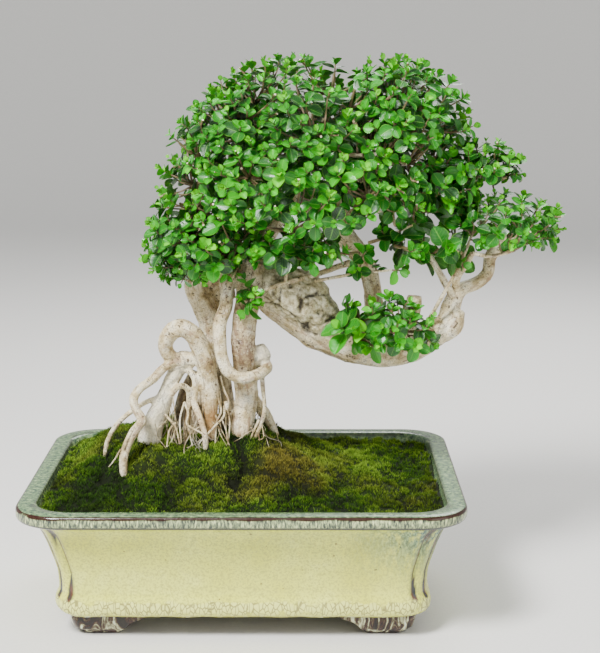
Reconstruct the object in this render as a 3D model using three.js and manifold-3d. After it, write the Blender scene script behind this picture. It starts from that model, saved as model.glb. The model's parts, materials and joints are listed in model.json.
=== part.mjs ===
// A premna bonsai in its glazed pot: exposed roots, a trunk that swings down to the right and climbs
// again, and a domed crown of small round leaves. Millimetres, +Z up. The shapes below are measured
// from the middle of the pot at table height; the group is then moved so that its origin lies under
// the middle of the whole thing, at the height of the feet.
import * as THREE from 'three';
import { mergeVertices } from 'three/addons/utils/BufferGeometryUtils.js';
import Module from 'manifold-3d';

const wasm = await Module();
wasm.setup();

// Pot
const POT_LENGTH = 305;
const POT_DEPTH = 230;
const POT_HEIGHT = 96;
const FOOT_HEIGHT = 16;
const FLOOR_TOP = 24;
const LIP_WIDTH = 13;
const RIM_CORNER = 32;
const CORNER_STEPS = 4;
const GROOVE_DEPTH = 1.6;
const DRAIN_RADIUS = 10;
const DRAIN_OFFSET = 62;
const SCREEN_SIZE = 34;
const SCREEN_THICKNESS = 1.2;
const SCREEN_HOLES = 2;

// Soil and moss
const EDGE_LEVEL = 90;
const MOUND_HEIGHT = 36;
const MOSS_THICKNESS = 7;
const MOSS_GAP = 1.2;
const FIELD_CELL = 38;

// Wood and leaves
const CLEARANCE = 0.3;
const TRUNK_SIDES = 7;
const ROOT_SIDES = 5;
const TWIG_SIDES = 4;
const BRANCH_TIP = 1.3;
const LEAF_THICKNESS = 1.3;
const GOLDEN_ANGLE = Math.PI * (3 - Math.sqrt(5));

const COLOURS = {
  glaze: 0xd6d5a0,
  screen: 0x23262a,
  soil: 0x3a2c20,
  moss: 0x49661c,
  bark: 0xb9a68c,
  leaf: 0x3b8f1c,
};

// A repeatable draw between 0 and 1
function draws(seed) {
  let state = seed >>> 0;
  return () => {
    state = (Math.imul(1664525, state) + 1013904223) >>> 0;
    return state / 4294967296;
  };
}

const point = (p) => new THREE.Vector3(...p);

// Solids: a closed mesh to a solid that can be joined and cut, and back
function solidOf(geometry) {
  const bare = geometry.clone();
  bare.deleteAttribute('normal');
  bare.deleteAttribute('uv');
  const merged = mergeVertices(bare, 1e-4);
  const vertProperties = merged.attributes.position.array;
  const triVerts = new Uint32Array(merged.index.array);
  return new wasm.Manifold(new wasm.Mesh({ numProp: 3, vertProperties, triVerts }));
}

function geometryOf(solid) {
  const mesh = solid.getMesh();
  const geometry = new THREE.BufferGeometry();
  geometry.setAttribute('position', new THREE.BufferAttribute(mesh.vertProperties, 3));
  geometry.setIndex(new THREE.BufferAttribute(mesh.triVerts, 1));
  geometry.computeVertexNormals();
  return geometry;
}

function joined(solids) {
  return solids.reduce((whole, next) => whole.add(next));
}

// The largest single body of a cut solid; loose scraps are dropped
function largest(solid) {
  const bodies = solid.decompose();
  return bodies.reduce((best, body) => (body.volume() > best.volume() ? body : best));
}

// A closed skin over rings of equal count, each anticlockwise about the way of travel
function loft(rings) {
  const sides = rings[0].length;
  const last = (rings.length - 1) * sides;
  const faces = [];
  for (let ring = 0; ring < last; ring += sides) {
    for (let side = 0; side < sides; side++) {
      const a = ring + side;
      const b = ring + ((side + 1) % sides);
      faces.push(a, b, b + sides, a, b + sides, a + sides);
    }
  }
  for (let side = 1; side + 1 < sides; side++) {
    faces.push(0, side + 1, side, last, last + side, last + side + 1);
  }
  return meshOf(rings.flat(), faces);
}

function meshOf(points, faces) {
  const geometry = new THREE.BufferGeometry().setFromPoints(points);
  geometry.setIndex(faces);
  return geometry;
}

// Limbs: a route is a list of [x, y, z, radius] that the wood passes through
function limbStations(route, perSpan) {
  const curve = new THREE.CatmullRomCurve3(route.map(([x, y, z]) => point([x, y, z])));
  const steps = (route.length - 1) * perSpan;
  const stations = [];
  for (let step = 0; step <= steps; step++) {
    const along = step / perSpan;
    const span = Math.min(Math.floor(along), route.length - 2);
    const share = along - span;
    stations.push({
      at: curve.getPoint(step / steps),
      way: curve.getTangent(step / steps),
      radius: route[span][3] * (1 - share) + route[span + 1][3] * share,
    });
  }
  return stations;
}

function limb(stations, sides, extra = 0, gnarl = 0, seed = 1) {
  const draw = draws(seed);
  const first = stations[0];
  const last = stations[stations.length - 1];
  let across = new THREE.Vector3(0.36, 0.48, 0.8);
  const rings = stations.map(({ at, way, radius }) => {
    across = across.clone().addScaledVector(way, -across.dot(way)).normalize();
    const other = way.clone().cross(across);
    const shift = at === first.at ? -extra : at === last.at ? extra : 0;
    return Array.from({ length: sides }, (_, side) => {
      const angle = (2 * Math.PI * side) / sides;
      const reach = radius * (1 + gnarl * (2 * draw() - 1)) + extra;
      return at
        .clone()
        .addScaledVector(way, shift)
        .addScaledVector(across, reach * Math.cos(angle))
        .addScaledVector(other, reach * Math.sin(angle));
    });
  });
  return solidOf(loft(rings));
}

// Pot: one fired piece, lofted up the outside, over the lip and down to the floor
function potRing(inset, z, groove = 0) {
  const halfX = POT_LENGTH / 2 - inset;
  const halfY = POT_DEPTH / 2 - inset;
  const radius = RIM_CORNER - inset * 0.45;
  const ring = [];
  for (let corner = 0; corner < 4; corner++) {
    const signX = corner === 0 || corner === 3 ? 1 : -1;
    const signY = corner < 2 ? 1 : -1;
    for (let step = 0; step <= CORNER_STEPS; step++) {
      const angle = ((corner + step / CORNER_STEPS) * Math.PI) / 2;
      const reach = radius - (step % 2 ? groove : 0);
      ring.push(
        point([
          signX * (halfX - radius) + reach * Math.cos(angle),
          signY * (halfY - radius) + reach * Math.sin(angle),
          z,
        ]),
      );
    }
  }
  return ring;
}

function pot() {
  const outside = [
    [30, FOOT_HEIGHT],
    [25, 19],
    [22.8, 24],
    [23.6, 29],
    [25.4, 33],
    [24.6, 47, GROOVE_DEPTH],
    [20.8, 60, GROOVE_DEPTH],
    [16.5, 73, GROOVE_DEPTH],
    [11.5, 82],
    [7, 85.5],
    [3, 87],
    [0, 91],
    [0, 95],
  ];
  const inside = [
    [1.5, POT_HEIGHT],
    [LIP_WIDTH - 1, POT_HEIGHT],
    [LIP_WIDTH + 1, 94],
    [27, 62],
    [35, FLOOR_TOP],
  ];
  const body = solidOf(loft([...outside, ...inside].map((level) => potRing(...level))));
  return joined([body, ...feet()]).subtract(joined(drains(DRAIN_RADIUS)));
}

// Cloud feet: the front outline and the side outline, each pushed through, meet in one foot
function feet() {
  const outline = (outer, inner) => [
    [outer - 1, FOOT_HEIGHT + 2],
    [outer, 12],
    [outer - 2, 5],
    [outer - 7, 0],
    [inner + 20, 0],
    [inner + 15, 4],
    [inner + 9, 10],
    [inner, 13],
    [inner - 3, FOOT_HEIGHT + 2],
  ];
  const front = prism(outline(119.5, 66), POT_DEPTH);
  const side = prism(outline(82.5, 40), POT_LENGTH);
  front.rotateX(Math.PI / 2);
  front.translate(0, POT_DEPTH, 0);
  side.rotateX(Math.PI / 2);
  side.rotateZ(Math.PI / 2);
  const foot = solidOf(front).intersect(solidOf(side));
  return [
    foot,
    foot.mirror([1, 0, 0]),
    foot.mirror([0, 1, 0]),
    foot.mirror([1, 0, 0]).mirror([0, 1, 0]),
  ];
}

function prism(outline, depth) {
  const shape = new THREE.Shape(outline.map(([x, y]) => new THREE.Vector2(x, y)));
  return new THREE.ExtrudeGeometry(shape, { depth, bevelEnabled: false });
}

function drains(radius) {
  return [-1, 1].map((side) => {
    const hole = new THREE.CylinderGeometry(radius, radius, 2 * FLOOR_TOP, 16);
    hole.rotateX(Math.PI / 2);
    hole.translate(side * DRAIN_OFFSET, 0, FLOOR_TOP);
    return solidOf(hole);
  });
}

// Plastic mesh over each drainage hole
function square(x, y, size) {
  const half = size / 2;
  return [
    [x - half, y - half],
    [x + half, y - half],
    [x + half, y + half],
    [x - half, y + half],
  ];
}

function screen(side) {
  const pitch = SCREEN_SIZE / (SCREEN_HOLES + 1);
  const middle = (SCREEN_HOLES - 1) / 2;
  const plate = solidOf(prism(square(0, 0, SCREEN_SIZE), SCREEN_THICKNESS));
  const holes = [];
  for (let row = 0; row < SCREEN_HOLES; row++) {
    for (let column = 0; column < SCREEN_HOLES; column++) {
      const hole = prism(square((column - middle) * pitch, (row - middle) * pitch, pitch * 0.7), 2);
      hole.translate(0, 0, (SCREEN_THICKNESS - 2) / 2);
      holes.push(solidOf(hole));
    }
  }
  return plate.subtract(joined(holes)).translate(side * DRAIN_OFFSET, 0, FLOOR_TOP + CLEARANCE);
}

// Ground: the moss lies a little under the rim at the edge and is heaped round the roots
function ground(x, y) {
  const mound = Math.exp(-(Math.abs((x + 38) / 82) ** 4) - Math.abs((y - 15) / 70) ** 2.6);
  const swell = 5 * Math.exp(-(((x - 88) / 42) ** 2) - ((y - 12) / 58) ** 2);
  const tufts = 1.3 * Math.sin(x / 13 + 1) * Math.cos(y / 15) + 0.8 * Math.sin((x + y) / 8);
  return EDGE_LEVEL + MOUND_HEIGHT * mound + swell + tufts;
}

// A block from table height up to a wavy top
function bank(top) {
  const across = Math.ceil(POT_LENGTH / FIELD_CELL);
  const along = Math.ceil(POT_DEPTH / FIELD_CELL);
  const block = new THREE.BoxGeometry(POT_LENGTH, POT_DEPTH, 2, across, along, 1);
  const places = block.attributes.position;
  for (let index = 0; index < places.count; index++) {
    const x = places.getX(index);
    const y = places.getY(index);
    places.setZ(index, places.getZ(index) > 0 ? top(x, y) : 0);
  }
  return solidOf(block);
}

// The pot's inside, drawn in by the clearance
function hollow() {
  const gap = CLEARANCE;
  return solidOf(
    loft([
      potRing(35 + gap, FLOOR_TOP + gap),
      potRing(27 + gap, 62),
      potRing(LIP_WIDTH + 1 + gap, 94),
      potRing(LIP_WIDTH + 1 + gap, 2 * POT_HEIGHT),
    ]),
  );
}

function soil(space, wood) {
  const bed = bank((x, y) => ground(x, y) - MOSS_THICKNESS - CLEARANCE);
  const margin = SCREEN_SIZE + 2 * CLEARANCE;
  const pockets = [-1, 1].map((side) => {
    const pocket = prism(square(side * DRAIN_OFFSET, 0, margin), SCREEN_THICKNESS + 2 * CLEARANCE);
    pocket.translate(0, 0, FLOOR_TOP);
    return solidOf(pocket);
  });
  return largest(space.intersect(bed).subtract(joined(pockets)).subtract(wood));
}

// Moss: one cushion round each of these middles, out to halfway to the next
const MOSS_MIDDLES = {
  moss_left_front: [-100, -48],
  moss_left_back: [-98, 52],
  moss_centre_front: [-42, -62],
  moss_centre_back: [-34, 66],
  moss_mound: [22, -36],
  moss_behind_mound: [36, 58],
  moss_right_front: [92, -46],
  moss_right_back: [96, 44],
};

function clipped(outline, [ax, ay], [bx, by], gap) {
  const reach = Math.hypot(bx - ax, by - ay);
  const way = [(bx - ax) / reach, (by - ay) / reach];
  const past = ([x, y]) => {
    const half = (x - (ax + bx) / 2) * way[0] + (y - (ay + by) / 2) * way[1];
    return half + gap / 2;
  };
  const kept = [];
  outline.forEach((here, index) => {
    const next = outline[(index + 1) % outline.length];
    const [p, q] = [past(here), past(next)];
    if (p <= 0) kept.push(here);
    if (p < 0 !== q < 0) {
      const share = p / (p - q);
      kept.push([here[0] + share * (next[0] - here[0]), here[1] + share * (next[1] - here[1])]);
    }
  });
  return kept;
}

function mossPads(space, wood) {
  const bed = bank(ground).subtract(bank((x, y) => ground(x, y) - MOSS_THICKNESS));
  const middles = Object.entries(MOSS_MIDDLES);
  const start = [
    [-POT_LENGTH, -POT_DEPTH],
    [POT_LENGTH, -POT_DEPTH],
    [POT_LENGTH, POT_DEPTH],
    [-POT_LENGTH, POT_DEPTH],
  ];
  return middles.map(([name, middle]) => {
    const others = middles.filter(([other]) => other !== name);
    const outline = others.reduce((kept, [, next]) => clipped(kept, middle, next, MOSS_GAP), start);
    const pillar = solidOf(prism(outline, 2 * POT_HEIGHT));
    return [name, largest(space.intersect(bed).intersect(pillar).subtract(wood))];
  });
}

// Trunks and roots that show, each from its top down into the soil
const TRUNKS = {
  left_trunk: [
    [-6, 10, 248, 9],
    [-22, 11, 241, 8.6],
    [-35, 10, 231, 8.8],
    [-31, 9, 217, 8.6],
    [-26, 8, 203, 8.2],
    [-25, 2, 186, 7],
    [-29, 0, 162, 6.4],
    [-33, -1, 138, 6.6],
    [-36, -2, 116, 6],
    [-40, -3, 96, 4],
  ],
  looped_root: [
    [-43, -9, 178, 5.2],
    [-52, -12, 181, 5.2],
    [-56, -15, 191, 5.4],
    [-52, -17, 200, 6],
    [-45, -18, 204, 6.4],
    [-37, -16, 200, 6.8],
    [-32, -13, 190, 7.1],
    [-28, -11, 178, 7.2],
    [-26, -11, 164, 7.1],
    [-25, -12, 150, 6.6],
    [-25, -12, 136, 5.4],
    [-26, -12, 118, 4.6],
    [-27, -12, 98, 3.4],
  ],
  pale_root: [
    [-43, -8, 180, 5.6],
    [-48, -10, 172, 5.6],
    [-54, -11, 160, 5.8],
    [-59, -12, 147, 6.6],
    [-65, -13, 134, 8],
    [-69, -14, 120, 8.6],
    [-73, -15, 98, 6],
  ],
  wrapping_stem: [
    [-6, -6, 248, 5],
    [-12, -14, 230, 4.9],
    [-13, -18, 219, 4.9],
    [-17, -20, 208, 4.9],
    [-17, -21, 196, 4.7],
    [-16, -22, 185, 4.6],
    [-12, -24, 175, 4.6],
    [-5, -25, 170, 4.4],
    [4, -25, 170, 4.2],
    [12, -19, 172, 4],
    [16, -10, 174, 3.9],
    [13, -2, 176, 3.6],
  ],
  right_trunk: [
    [6, 0, 246, 9.6],
    [3, -6, 234, 9],
    [2, -10, 221, 8.6],
    [0, -12, 206, 8.6],
    [-1, -12, 193, 8.9],
    [0, -8, 178, 9],
    [0, -2, 164, 9.1],
    [1, 0, 150, 8.7],
    [-1, 0, 137, 8],
    [-3, 0, 123, 7.4],
    [-5, 1, 98, 5],
  ],
  hidden_stem: [
    [-14, 14, 246, 5],
    [-22, 17, 229, 4.4],
    [-19, 17, 219, 4.3],
    [-20, 15, 205, 4],
    [-24, 11, 192, 3.8],
  ],
  trunk: [
    [-8, 4, 250, 9],
    [4, 6, 241, 13],
    [20, 8, 226, 17.4],
    [37, 8, 213, 18],
    [52, 6, 199, 15.6],
    [67, 4, 189, 12],
    [86, 2, 183, 10.4],
    [104, 0, 182, 10],
    [118, 0, 186, 10.6],
    [132, 0, 194, 10],
    [144, 2, 203, 8.6],
    [148, 5, 217, 6.8],
    [155, 9, 227, 5.2],
    [166, 12, 231, 4.9],
    [174, 14, 238, 4.7],
    [176, 16, 249, 4.7],
    [184, 18, 258, 4.3],
    [196, 19, 268, 3],
  ],
  rising_branch: [
    [88, 6, 184, 8],
    [92, 10, 197, 7.4],
    [93, 12, 210, 6.9],
    [92, 13, 222, 6.8],
    [89, 14, 237, 6.8],
    [83, 14, 250, 7.2],
    [74, 14, 261, 8],
    [67, 13, 270, 8.4],
    [66, 13, 280, 6],
    [72, 15, 292, 4.6],
    [82, 18, 306, 3.8],
    [90, 20, 326, 3],
  ],
};

const ROOTS = {
  crooked_root: [
    [-44, -10, 178, 4],
    [-51, -14, 178, 3.4],
    [-58, -17, 174, 3.2],
    [-65, -20, 167, 3.2],
    [-74, -24, 161, 3.2],
    [-78, -27, 154, 3.2],
    [-76, -29, 147, 3.1],
    [-72, -31, 140, 3.3],
    [-76, -34, 134, 3.6],
    [-81, -38, 126, 3.4],
    [-84, -41, 116, 3.2],
    [-84, -44, 106, 3],
    [-83, -46, 94, 2.2],
  ],
  side_root: [
    [-59, -11, 153, 2.2],
    [-71, -14, 149, 1.9],
    [-82, -16, 142, 1.8],
    [-91, -18, 134, 1.8],
    [-98, -19, 122, 1.7],
    [-101, -20, 106, 1.3],
  ],
  inner_root: [
    [-44, -10, 174, 2.6],
    [-37, -14, 169, 2.3],
    [-35, -16, 161, 2.3],
    [-36, -17, 150, 2.5],
    [-32, -23, 141, 2.3],
    [-28, -26, 128, 2.1],
    [-28, -27, 108, 1.6],
  ],
  small_arch: [
    [-55, -12, 148, 2],
    [-51, -17, 157, 2.3],
    [-46, -18, 162, 2.3],
    [-41, -17, 160, 2.2],
    [-40, -15, 148, 2],
    [-42, -14, 130, 2],
    [-43, -14, 108, 1.6],
  ],
  hanging_root: [
    [12, -17, 172, 2],
    [13, -16, 158, 1.6],
    [14, -16, 144, 1.5],
    [11, -15, 132, 1.5],
    [5, -14, 118, 1.5],
    [3, -13, 104, 1.2],
  ],
  back_root: [
    [-30, 6, 160, 4.4],
    [-38, 16, 148, 4.2],
    [-46, 26, 134, 4],
    [-52, 34, 116, 3.6],
    [-58, 40, 98, 2.4],
  ],
  right_back_root: [
    [2, 2, 152, 5],
    [9, 12, 140, 4.6],
    [16, 20, 127, 4.2],
    [22, 27, 108, 3.4],
    [26, 31, 96, 2.4],
  ],
};

// Limbs inside the crown that the leafy branches spring from
const LIMBS = {
  crown_left: [
    [2, 4, 240, 6],
    [-8, 4, 256, 6],
    [-18, 2, 268, 5],
    [-28, 0, 282, 3.8],
    [-34, -2, 298, 2.6],
  ],
  crown_left_back: [
    [-4, 8, 250, 4.6],
    [-8, 22, 262, 4.2],
    [-12, 36, 280, 3.6],
    [-10, 46, 300, 2.6],
  ],
  crown_middle: [
    [4, 5, 242, 7],
    [12, 8, 259, 6.8],
    [25, 14, 280, 5.4],
    [37, 18, 300, 4.2],
    [46, 22, 320, 3],
    [52, 24, 338, 2.2],
  ],
  crown_front: [
    [25, 14, 280, 3.6],
    [16, 4, 292, 3.4],
    [10, -8, 306, 3.2],
    [6, -16, 322, 2.4],
  ],
  crown_centre: [
    [67, 13, 274, 5],
    [54, 11, 280, 4.3],
    [43, 6, 285, 3.4],
    [33, -4, 288, 2.7],
    [26, -14, 290, 2.2],
  ],
  crown_right_back: [
    [69, 14, 285, 3.4],
    [72, 28, 298, 3.2],
    [72, 44, 308, 2.8],
    [66, 54, 320, 2.2],
  ],
  crown_right_front: [
    [73, 15, 293, 3.2],
    [82, 4, 304, 3],
    [92, -10, 314, 2.8],
    [98, -22, 326, 2.2],
  ],
  right_arm: [
    [67, 13, 271, 6],
    [76, 16, 278, 5.4],
    [86, 20, 283, 4.4],
    [101, 23, 285, 3.8],
    [118, 24, 288, 3.2],
    [134, 23, 294, 2.8],
    [152, 20, 300, 2.4],
    [168, 17, 306, 2],
  ],
  pad_front: [
    [152, 8, 224, 3.2],
    [150, -2, 236, 2.8],
    [156, -10, 248, 2.4],
    [160, -12, 256, 2],
  ],
  pad_left: [
    [150, 6, 220, 3.2],
    [143, -4, 232, 2.6],
    [136, -6, 244, 2.3],
    [130, -8, 254, 2],
  ],
  pad_back: [
    [176, 16, 250, 3.4],
    [178, 26, 258, 2.8],
    [174, 34, 264, 2.2],
  ],
  low_left: [
    [90, 2, 186, 3.2],
    [86, -12, 192, 2.4],
    [82, -20, 196, 2],
  ],
  low_right: [
    [118, -2, 190, 3],
    [114, -14, 197, 2.4],
    [110, -20, 202, 2],
  ],
  sprig_stem: [
    [84, 13, 248, 3],
    [66, 4, 244, 2.2],
    [47, -8, 239, 1.9],
    [29, -17, 236, 1.6],
    [14, -21, 231, 1.4],
  ],
};

const CUT_STUBS = {
  round_scar_stub: [
    [116, -2, 190, 7],
    [117, -6, 204, 5.9],
    [119, -9, 216, 5.8],
    [120, -10, 225, 5.4],
  ],
  short_stub: [
    [-12, 2, 222, 5],
    [-13, -2, 230, 5.6],
    [-13, -6, 237, 5],
  ],
};

// Swellings: the bulb on the right trunk, the root knot, and the gnarled blocks on the trunk
const SWELLINGS = {
  bulb: [
    [9, -5, 174, 4],
    [11, -6, 181, 7.6],
    [9, -6, 189, 5],
  ],
  root_knot: [
    [-36, -9, 178, 5],
    [-44, -10, 179, 7],
    [-51, -10, 174, 4],
  ],
  front_block: [
    [8, 6, 240, 8],
    [24, -2, 231, 13],
    [42, -5, 221, 14.5],
    [56, -2, 208, 12],
    [66, 2, 196, 8],
  ],
  back_block: [
    [14, 16, 232, 9],
    [32, 19, 218, 11],
    [50, 14, 203, 10],
  ],
  bend: [
    [136, 0, 194, 8],
    [147, 0, 203, 9.4],
    [151, 4, 213, 7],
  ],
};

// Foliage: each cushion of leaves is an ellipsoid, with its sprays set round its skin
const CUSHIONS = {
  crown: { at: [43, 2, 294], size: [114, 74, 103], sprays: 26, lowest: -0.45, turn: 0.6, leaf: 1.05 },
  skirt: { at: [-30, -4, 258], size: [44, 48, 34], sprays: 3, lowest: -0.6, turn: 3.6, leaf: 1 },
  middle: { at: [50, -24, 262], size: [44, 30, 22], sprays: 2, lowest: -0.4, turn: 3.5, leaf: 1 },
  arm: { at: [168, 12, 308], size: [40, 30, 22], sprays: 2, lowest: 0, turn: 0.4, leaf: 0.9 },
  pad: { at: [174, 6, 262], size: [60, 44, 32], sprays: 4, lowest: -0.4, turn: 2.7, leaf: 1.1 },
  low: { at: [98, -22, 206], size: [40, 30, 26], sprays: 3, lowest: -0.1, turn: 3.0, leaf: 1.1 },
  sprig: { at: [6, -22, 226], size: [10, 10, 14], sprays: 1, lowest: 0.9, turn: 0, leaf: 1 },
};
const STEM_HALF = 0.95;
const NODE_HEIGHT = 1.2;
const LEAF_LENGTH = 14.5;
const LEAF_GAP = 1.9;
const SPRAY_GAP = 26;
const FOOT_GAP = 16;

function spraySites() {
  const sites = [];
  for (const { at, size, sprays, lowest, turn, leaf } of Object.values(CUSHIONS)) {
    for (let index = 0; index < sprays; index++) {
      const height = 1 - ((index + 0.5) / sprays) * (1 - lowest);
      const ring = Math.sqrt(1 - height * height);
      const angle = turn + index * GOLDEN_ANGLE;
      const out = point([ring * Math.cos(angle), ring * Math.sin(angle), height]);
      const skin = out.clone().multiply(point(size));
      const way = out.clone().divide(point(size)).normalize();
      way.z += 0.25;
      way.normalize();
      const reach = Math.min(27, Math.max(12, 0.5 * skin.length()));
      const foot = point(at).add(skin).addScaledVector(way, -reach - 4);
      const heart = foot.clone().addScaledVector(way, reach * 0.6);
      const apart = sites.every(
        (near) => near.heart.distanceTo(heart) > SPRAY_GAP && near.foot.distanceTo(foot) > FOOT_GAP,
      );
      if (apart) sites.push({ foot, way, reach, leaf, heart });
    }
  }
  return sites;
}

// A branch leaves the nearest limb and turns to point along its spray
function branchRoute({ foot, way }, limbPoints) {
  const reachOf = ({ at }) => at.distanceTo(foot);
  const from = limbPoints.reduce((best, next) => (reachOf(next) < reachOf(best) ? next : best));
  const gap = reachOf(from);
  const thick = Math.min(BRANCH_TIP + 0.03 * gap, 0.75 * from.radius);
  const bend = from.at.clone().lerp(foot, 0.5).addScaledVector(way, -0.16 * gap);
  return [
    [...from.at.toArray(), thick],
    [...bend.toArray(), (thick + BRANCH_TIP) / 2],
    [...foot.toArray(), BRANCH_TIP],
  ];
}

// Leaf outline beyond the foot, in shares of the length: along the rib, then to one side
const LEAF_OUTLINE = [
  [0.42, -0.38],
  [0.9, -0.33],
  [0.9, 0.33],
  [0.42, 0.38],
];

// The skin of one spray: a square stem whose four sides open into leaves and side twigs
class Skin {
  constructor() {
    this.points = [];
    this.faces = [];
  }

  add(point) {
    this.points.push(point);
    return this.points.length - 1;
  }

  ring(at, across, other, half) {
    const corners = [
      [1, -1],
      [1, 1],
      [-1, 1],
      [-1, -1],
    ];
    return corners.map(([a, b]) =>
      this.add(at.clone().addScaledVector(across, a * half).addScaledVector(other, b * half)),
    );
  }

  quad([lowLeft, lowRight, highRight, highLeft]) {
    this.faces.push(lowLeft, lowRight, highRight, lowLeft, highRight, highLeft);
  }

  wall(low, high) {
    for (let side = 0; side < 4; side++) this.quad(panel(low, high, side));
  }

  leaf([lowLeft, lowRight, highRight, highLeft], { outer, under }) {
    const rim = outer.map((p) => this.add(p));
    const below = this.add(under);
    const lower = [lowLeft, ...rim, lowRight];
    this.faces.push(highLeft, rim[0], rim[1], highRight, rim[2], rim[3]);
    this.quad([highLeft, rim[1], rim[2], highRight]);
    lower.forEach((corner, index) => {
      this.faces.push(below, lower[(index + 1) % lower.length], corner);
    });
    this.faces.push(rim[0], highLeft, lowLeft, highRight, rim[3], lowRight);
  }

  solid() {
    return solidOf(meshOf(this.points, this.faces));
  }
}

function panel(low, high, side) {
  const next = (side + 1) % 4;
  return [low[side], low[next], high[next], high[side]];
}

function leafShape(foot, way, up, length, cup) {
  const aside = up.clone().cross(way);
  const at = (along, out) => {
    const lift = length * cup * (1.3 * Math.abs(out) + 0.4 * along * along);
    const p = foot.clone().addScaledVector(way, along * length);
    return p.addScaledVector(aside, out * length).addScaledVector(up, lift);
  };
  const outer = LEAF_OUTLINE.map(([along, out]) => at(along, out));
  const top = at(0.6, 0);
  const under = top.clone().addScaledVector(up, -LEAF_THICKNESS);
  const samples = [top, at(0.28, 0), at(0.94, 0), ...outer];
  outer.forEach((p, index) => {
    samples.push(p.clone().lerp(top, 0.5));
    if (index > 0) samples.push(p.clone().lerp(outer[index - 1], 0.5));
  });
  return { outer, under, samples };
}

// A leaf may come no nearer to another spray than half of the way, nor close to wood or to a leaf
// that is there already
function clear(samples, site, sites, wood, taken) {
  for (const other of sites) {
    if (other === site) continue;
    const way = other.heart.clone().sub(site.heart);
    const half = way.length() / 2 - LEAF_THICKNESS;
    way.normalize();
    if (samples.some((p) => p.clone().sub(site.heart).dot(way) > half)) return false;
  }
  if (samples.some((p) => taken.some((q) => q.distanceTo(p) < LEAF_GAP))) return false;
  const spot = new THREE.Vector3();
  return !wood.some(({ line, radius }) =>
    samples.some((p) => line.closestPointToPoint(p, true, spot).distanceTo(p) < radius),
  );
}

// Grows a stem from a ring of four corners. Each node carries an opposite pair on two of its sides
// and the next pair, at right angles, on the other two.
function grow(skin, base, start, nodes, draw, fits) {
  let { at, axis, across, turn } = start;
  let ring = base;
  for (const node of nodes) {
    at = at.clone().addScaledVector(axis, node.step);
    axis = axis.clone().add(point([draw() - 0.5, draw() - 0.5, draw() - 0.4]).multiplyScalar(0.25));
    axis.addScaledVector(start.out, node.turned).normalize();
    across = across.clone().addScaledVector(axis, -across.dot(axis)).normalize();
    const other = axis.clone().cross(across);
    const low = skin.ring(at, across, other, node.half);
    at = at.clone().addScaledVector(axis, NODE_HEIGHT);
    const high = skin.ring(at, across, other, node.half);
    skin.wall(ring, low);
    const ways = [across, other, across.clone().negate(), other.clone().negate()];
    for (let side = 0; side < 4; side++) {
      const foot = panel(low, high, side);
      const from = at.clone().addScaledVector(axis, -NODE_HEIGHT / 2).addScaledVector(ways[side], node.half);
      const pair = node.pairs[(side + turn) % 2];
      if (!pair(skin, foot, from, ways[side], axis, draw, fits)) skin.quad(foot);
    }
    ring = high;
    turn += 1;
  }
  skin.quad(ring);
}

function risen(out, axis, rise) {
  const way = out.clone().multiplyScalar(Math.cos(rise)).addScaledVector(axis, Math.sin(rise));
  const up = out.clone().multiplyScalar(-Math.sin(rise)).addScaledVector(axis, Math.cos(rise));
  return [way, up];
}

function leafOf(length, lowest) {
  return (skin, foot, from, out, axis, draw, fits) => {
    const size = length * (0.9 + 0.22 * draw());
    const cup = 0.08 + 0.14 * draw();
    for (let rise = lowest + 0.2 * draw(); rise < 1.3; rise += 0.15) {
      const shape = leafShape(from, ...risen(out, axis, rise), size, cup);
      if (!fits(shape.samples)) continue;
      skin.leaf(foot, shape);
      return true;
    }
    return false;
  };
}

function twigOf(length, span) {
  const pairs = [leafOf(length, 0.1), leafOf(length, 0.25)];
  const nodes = [{ step: span, half: 0.75, turned: 0.9, pairs }];
  return (skin, foot, from, out, axis, draw, fits) => {
    const [way, up] = risen(out, axis, 0.15 + 0.3 * draw());
    const marks = [0.5, 1, 1.25].map((share) => from.clone().addScaledVector(way, share * span));
    if (!fits(marks)) return false;
    grow(skin, foot, { at: from, axis: way, out: axis, across: up.negate(), turn: 1 }, nodes, draw, fits);
    return true;
  };
}

function spray(site, axis, sites, wood, draw) {
  const skin = new Skin();
  const across = point([draw() - 0.5, draw() - 0.5, 0.2]).cross(axis).normalize();
  const at = site.foot.clone().addScaledVector(axis, CLEARANCE + 0.05);
  const base = skin.ring(at, across, axis.clone().cross(across), STEM_HALF);
  const taken = [];
  const fits = (samples) => {
    if (!clear(samples, site, sites, wood, taken)) return false;
    taken.push(...samples);
    return true;
  };
  const length = LEAF_LENGTH * site.leaf;
  const step = site.reach / 3 - NODE_HEIGHT;
  const leaf = leafOf(length, 0.05);
  const nodes = [
    { step, half: 0.95, turned: 0, pairs: [twigOf(length, 1.25 * LEAF_LENGTH), leaf] },
    { step, half: 0.85, turned: 0, pairs: [twigOf(length, 1.1 * LEAF_LENGTH), leaf] },
    { step, half: 0.7, turned: 0, pairs: [leafOf(0.9 * length, 0.3), leafOf(0.7 * length, 0.7)] },
  ];
  skin.quad([base[3], base[2], base[1], base[0]]);
  grow(skin, base, { at, axis, out: axis, across, turn: 0 }, nodes, draw, fits);
  return skin.solid();
}

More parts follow.
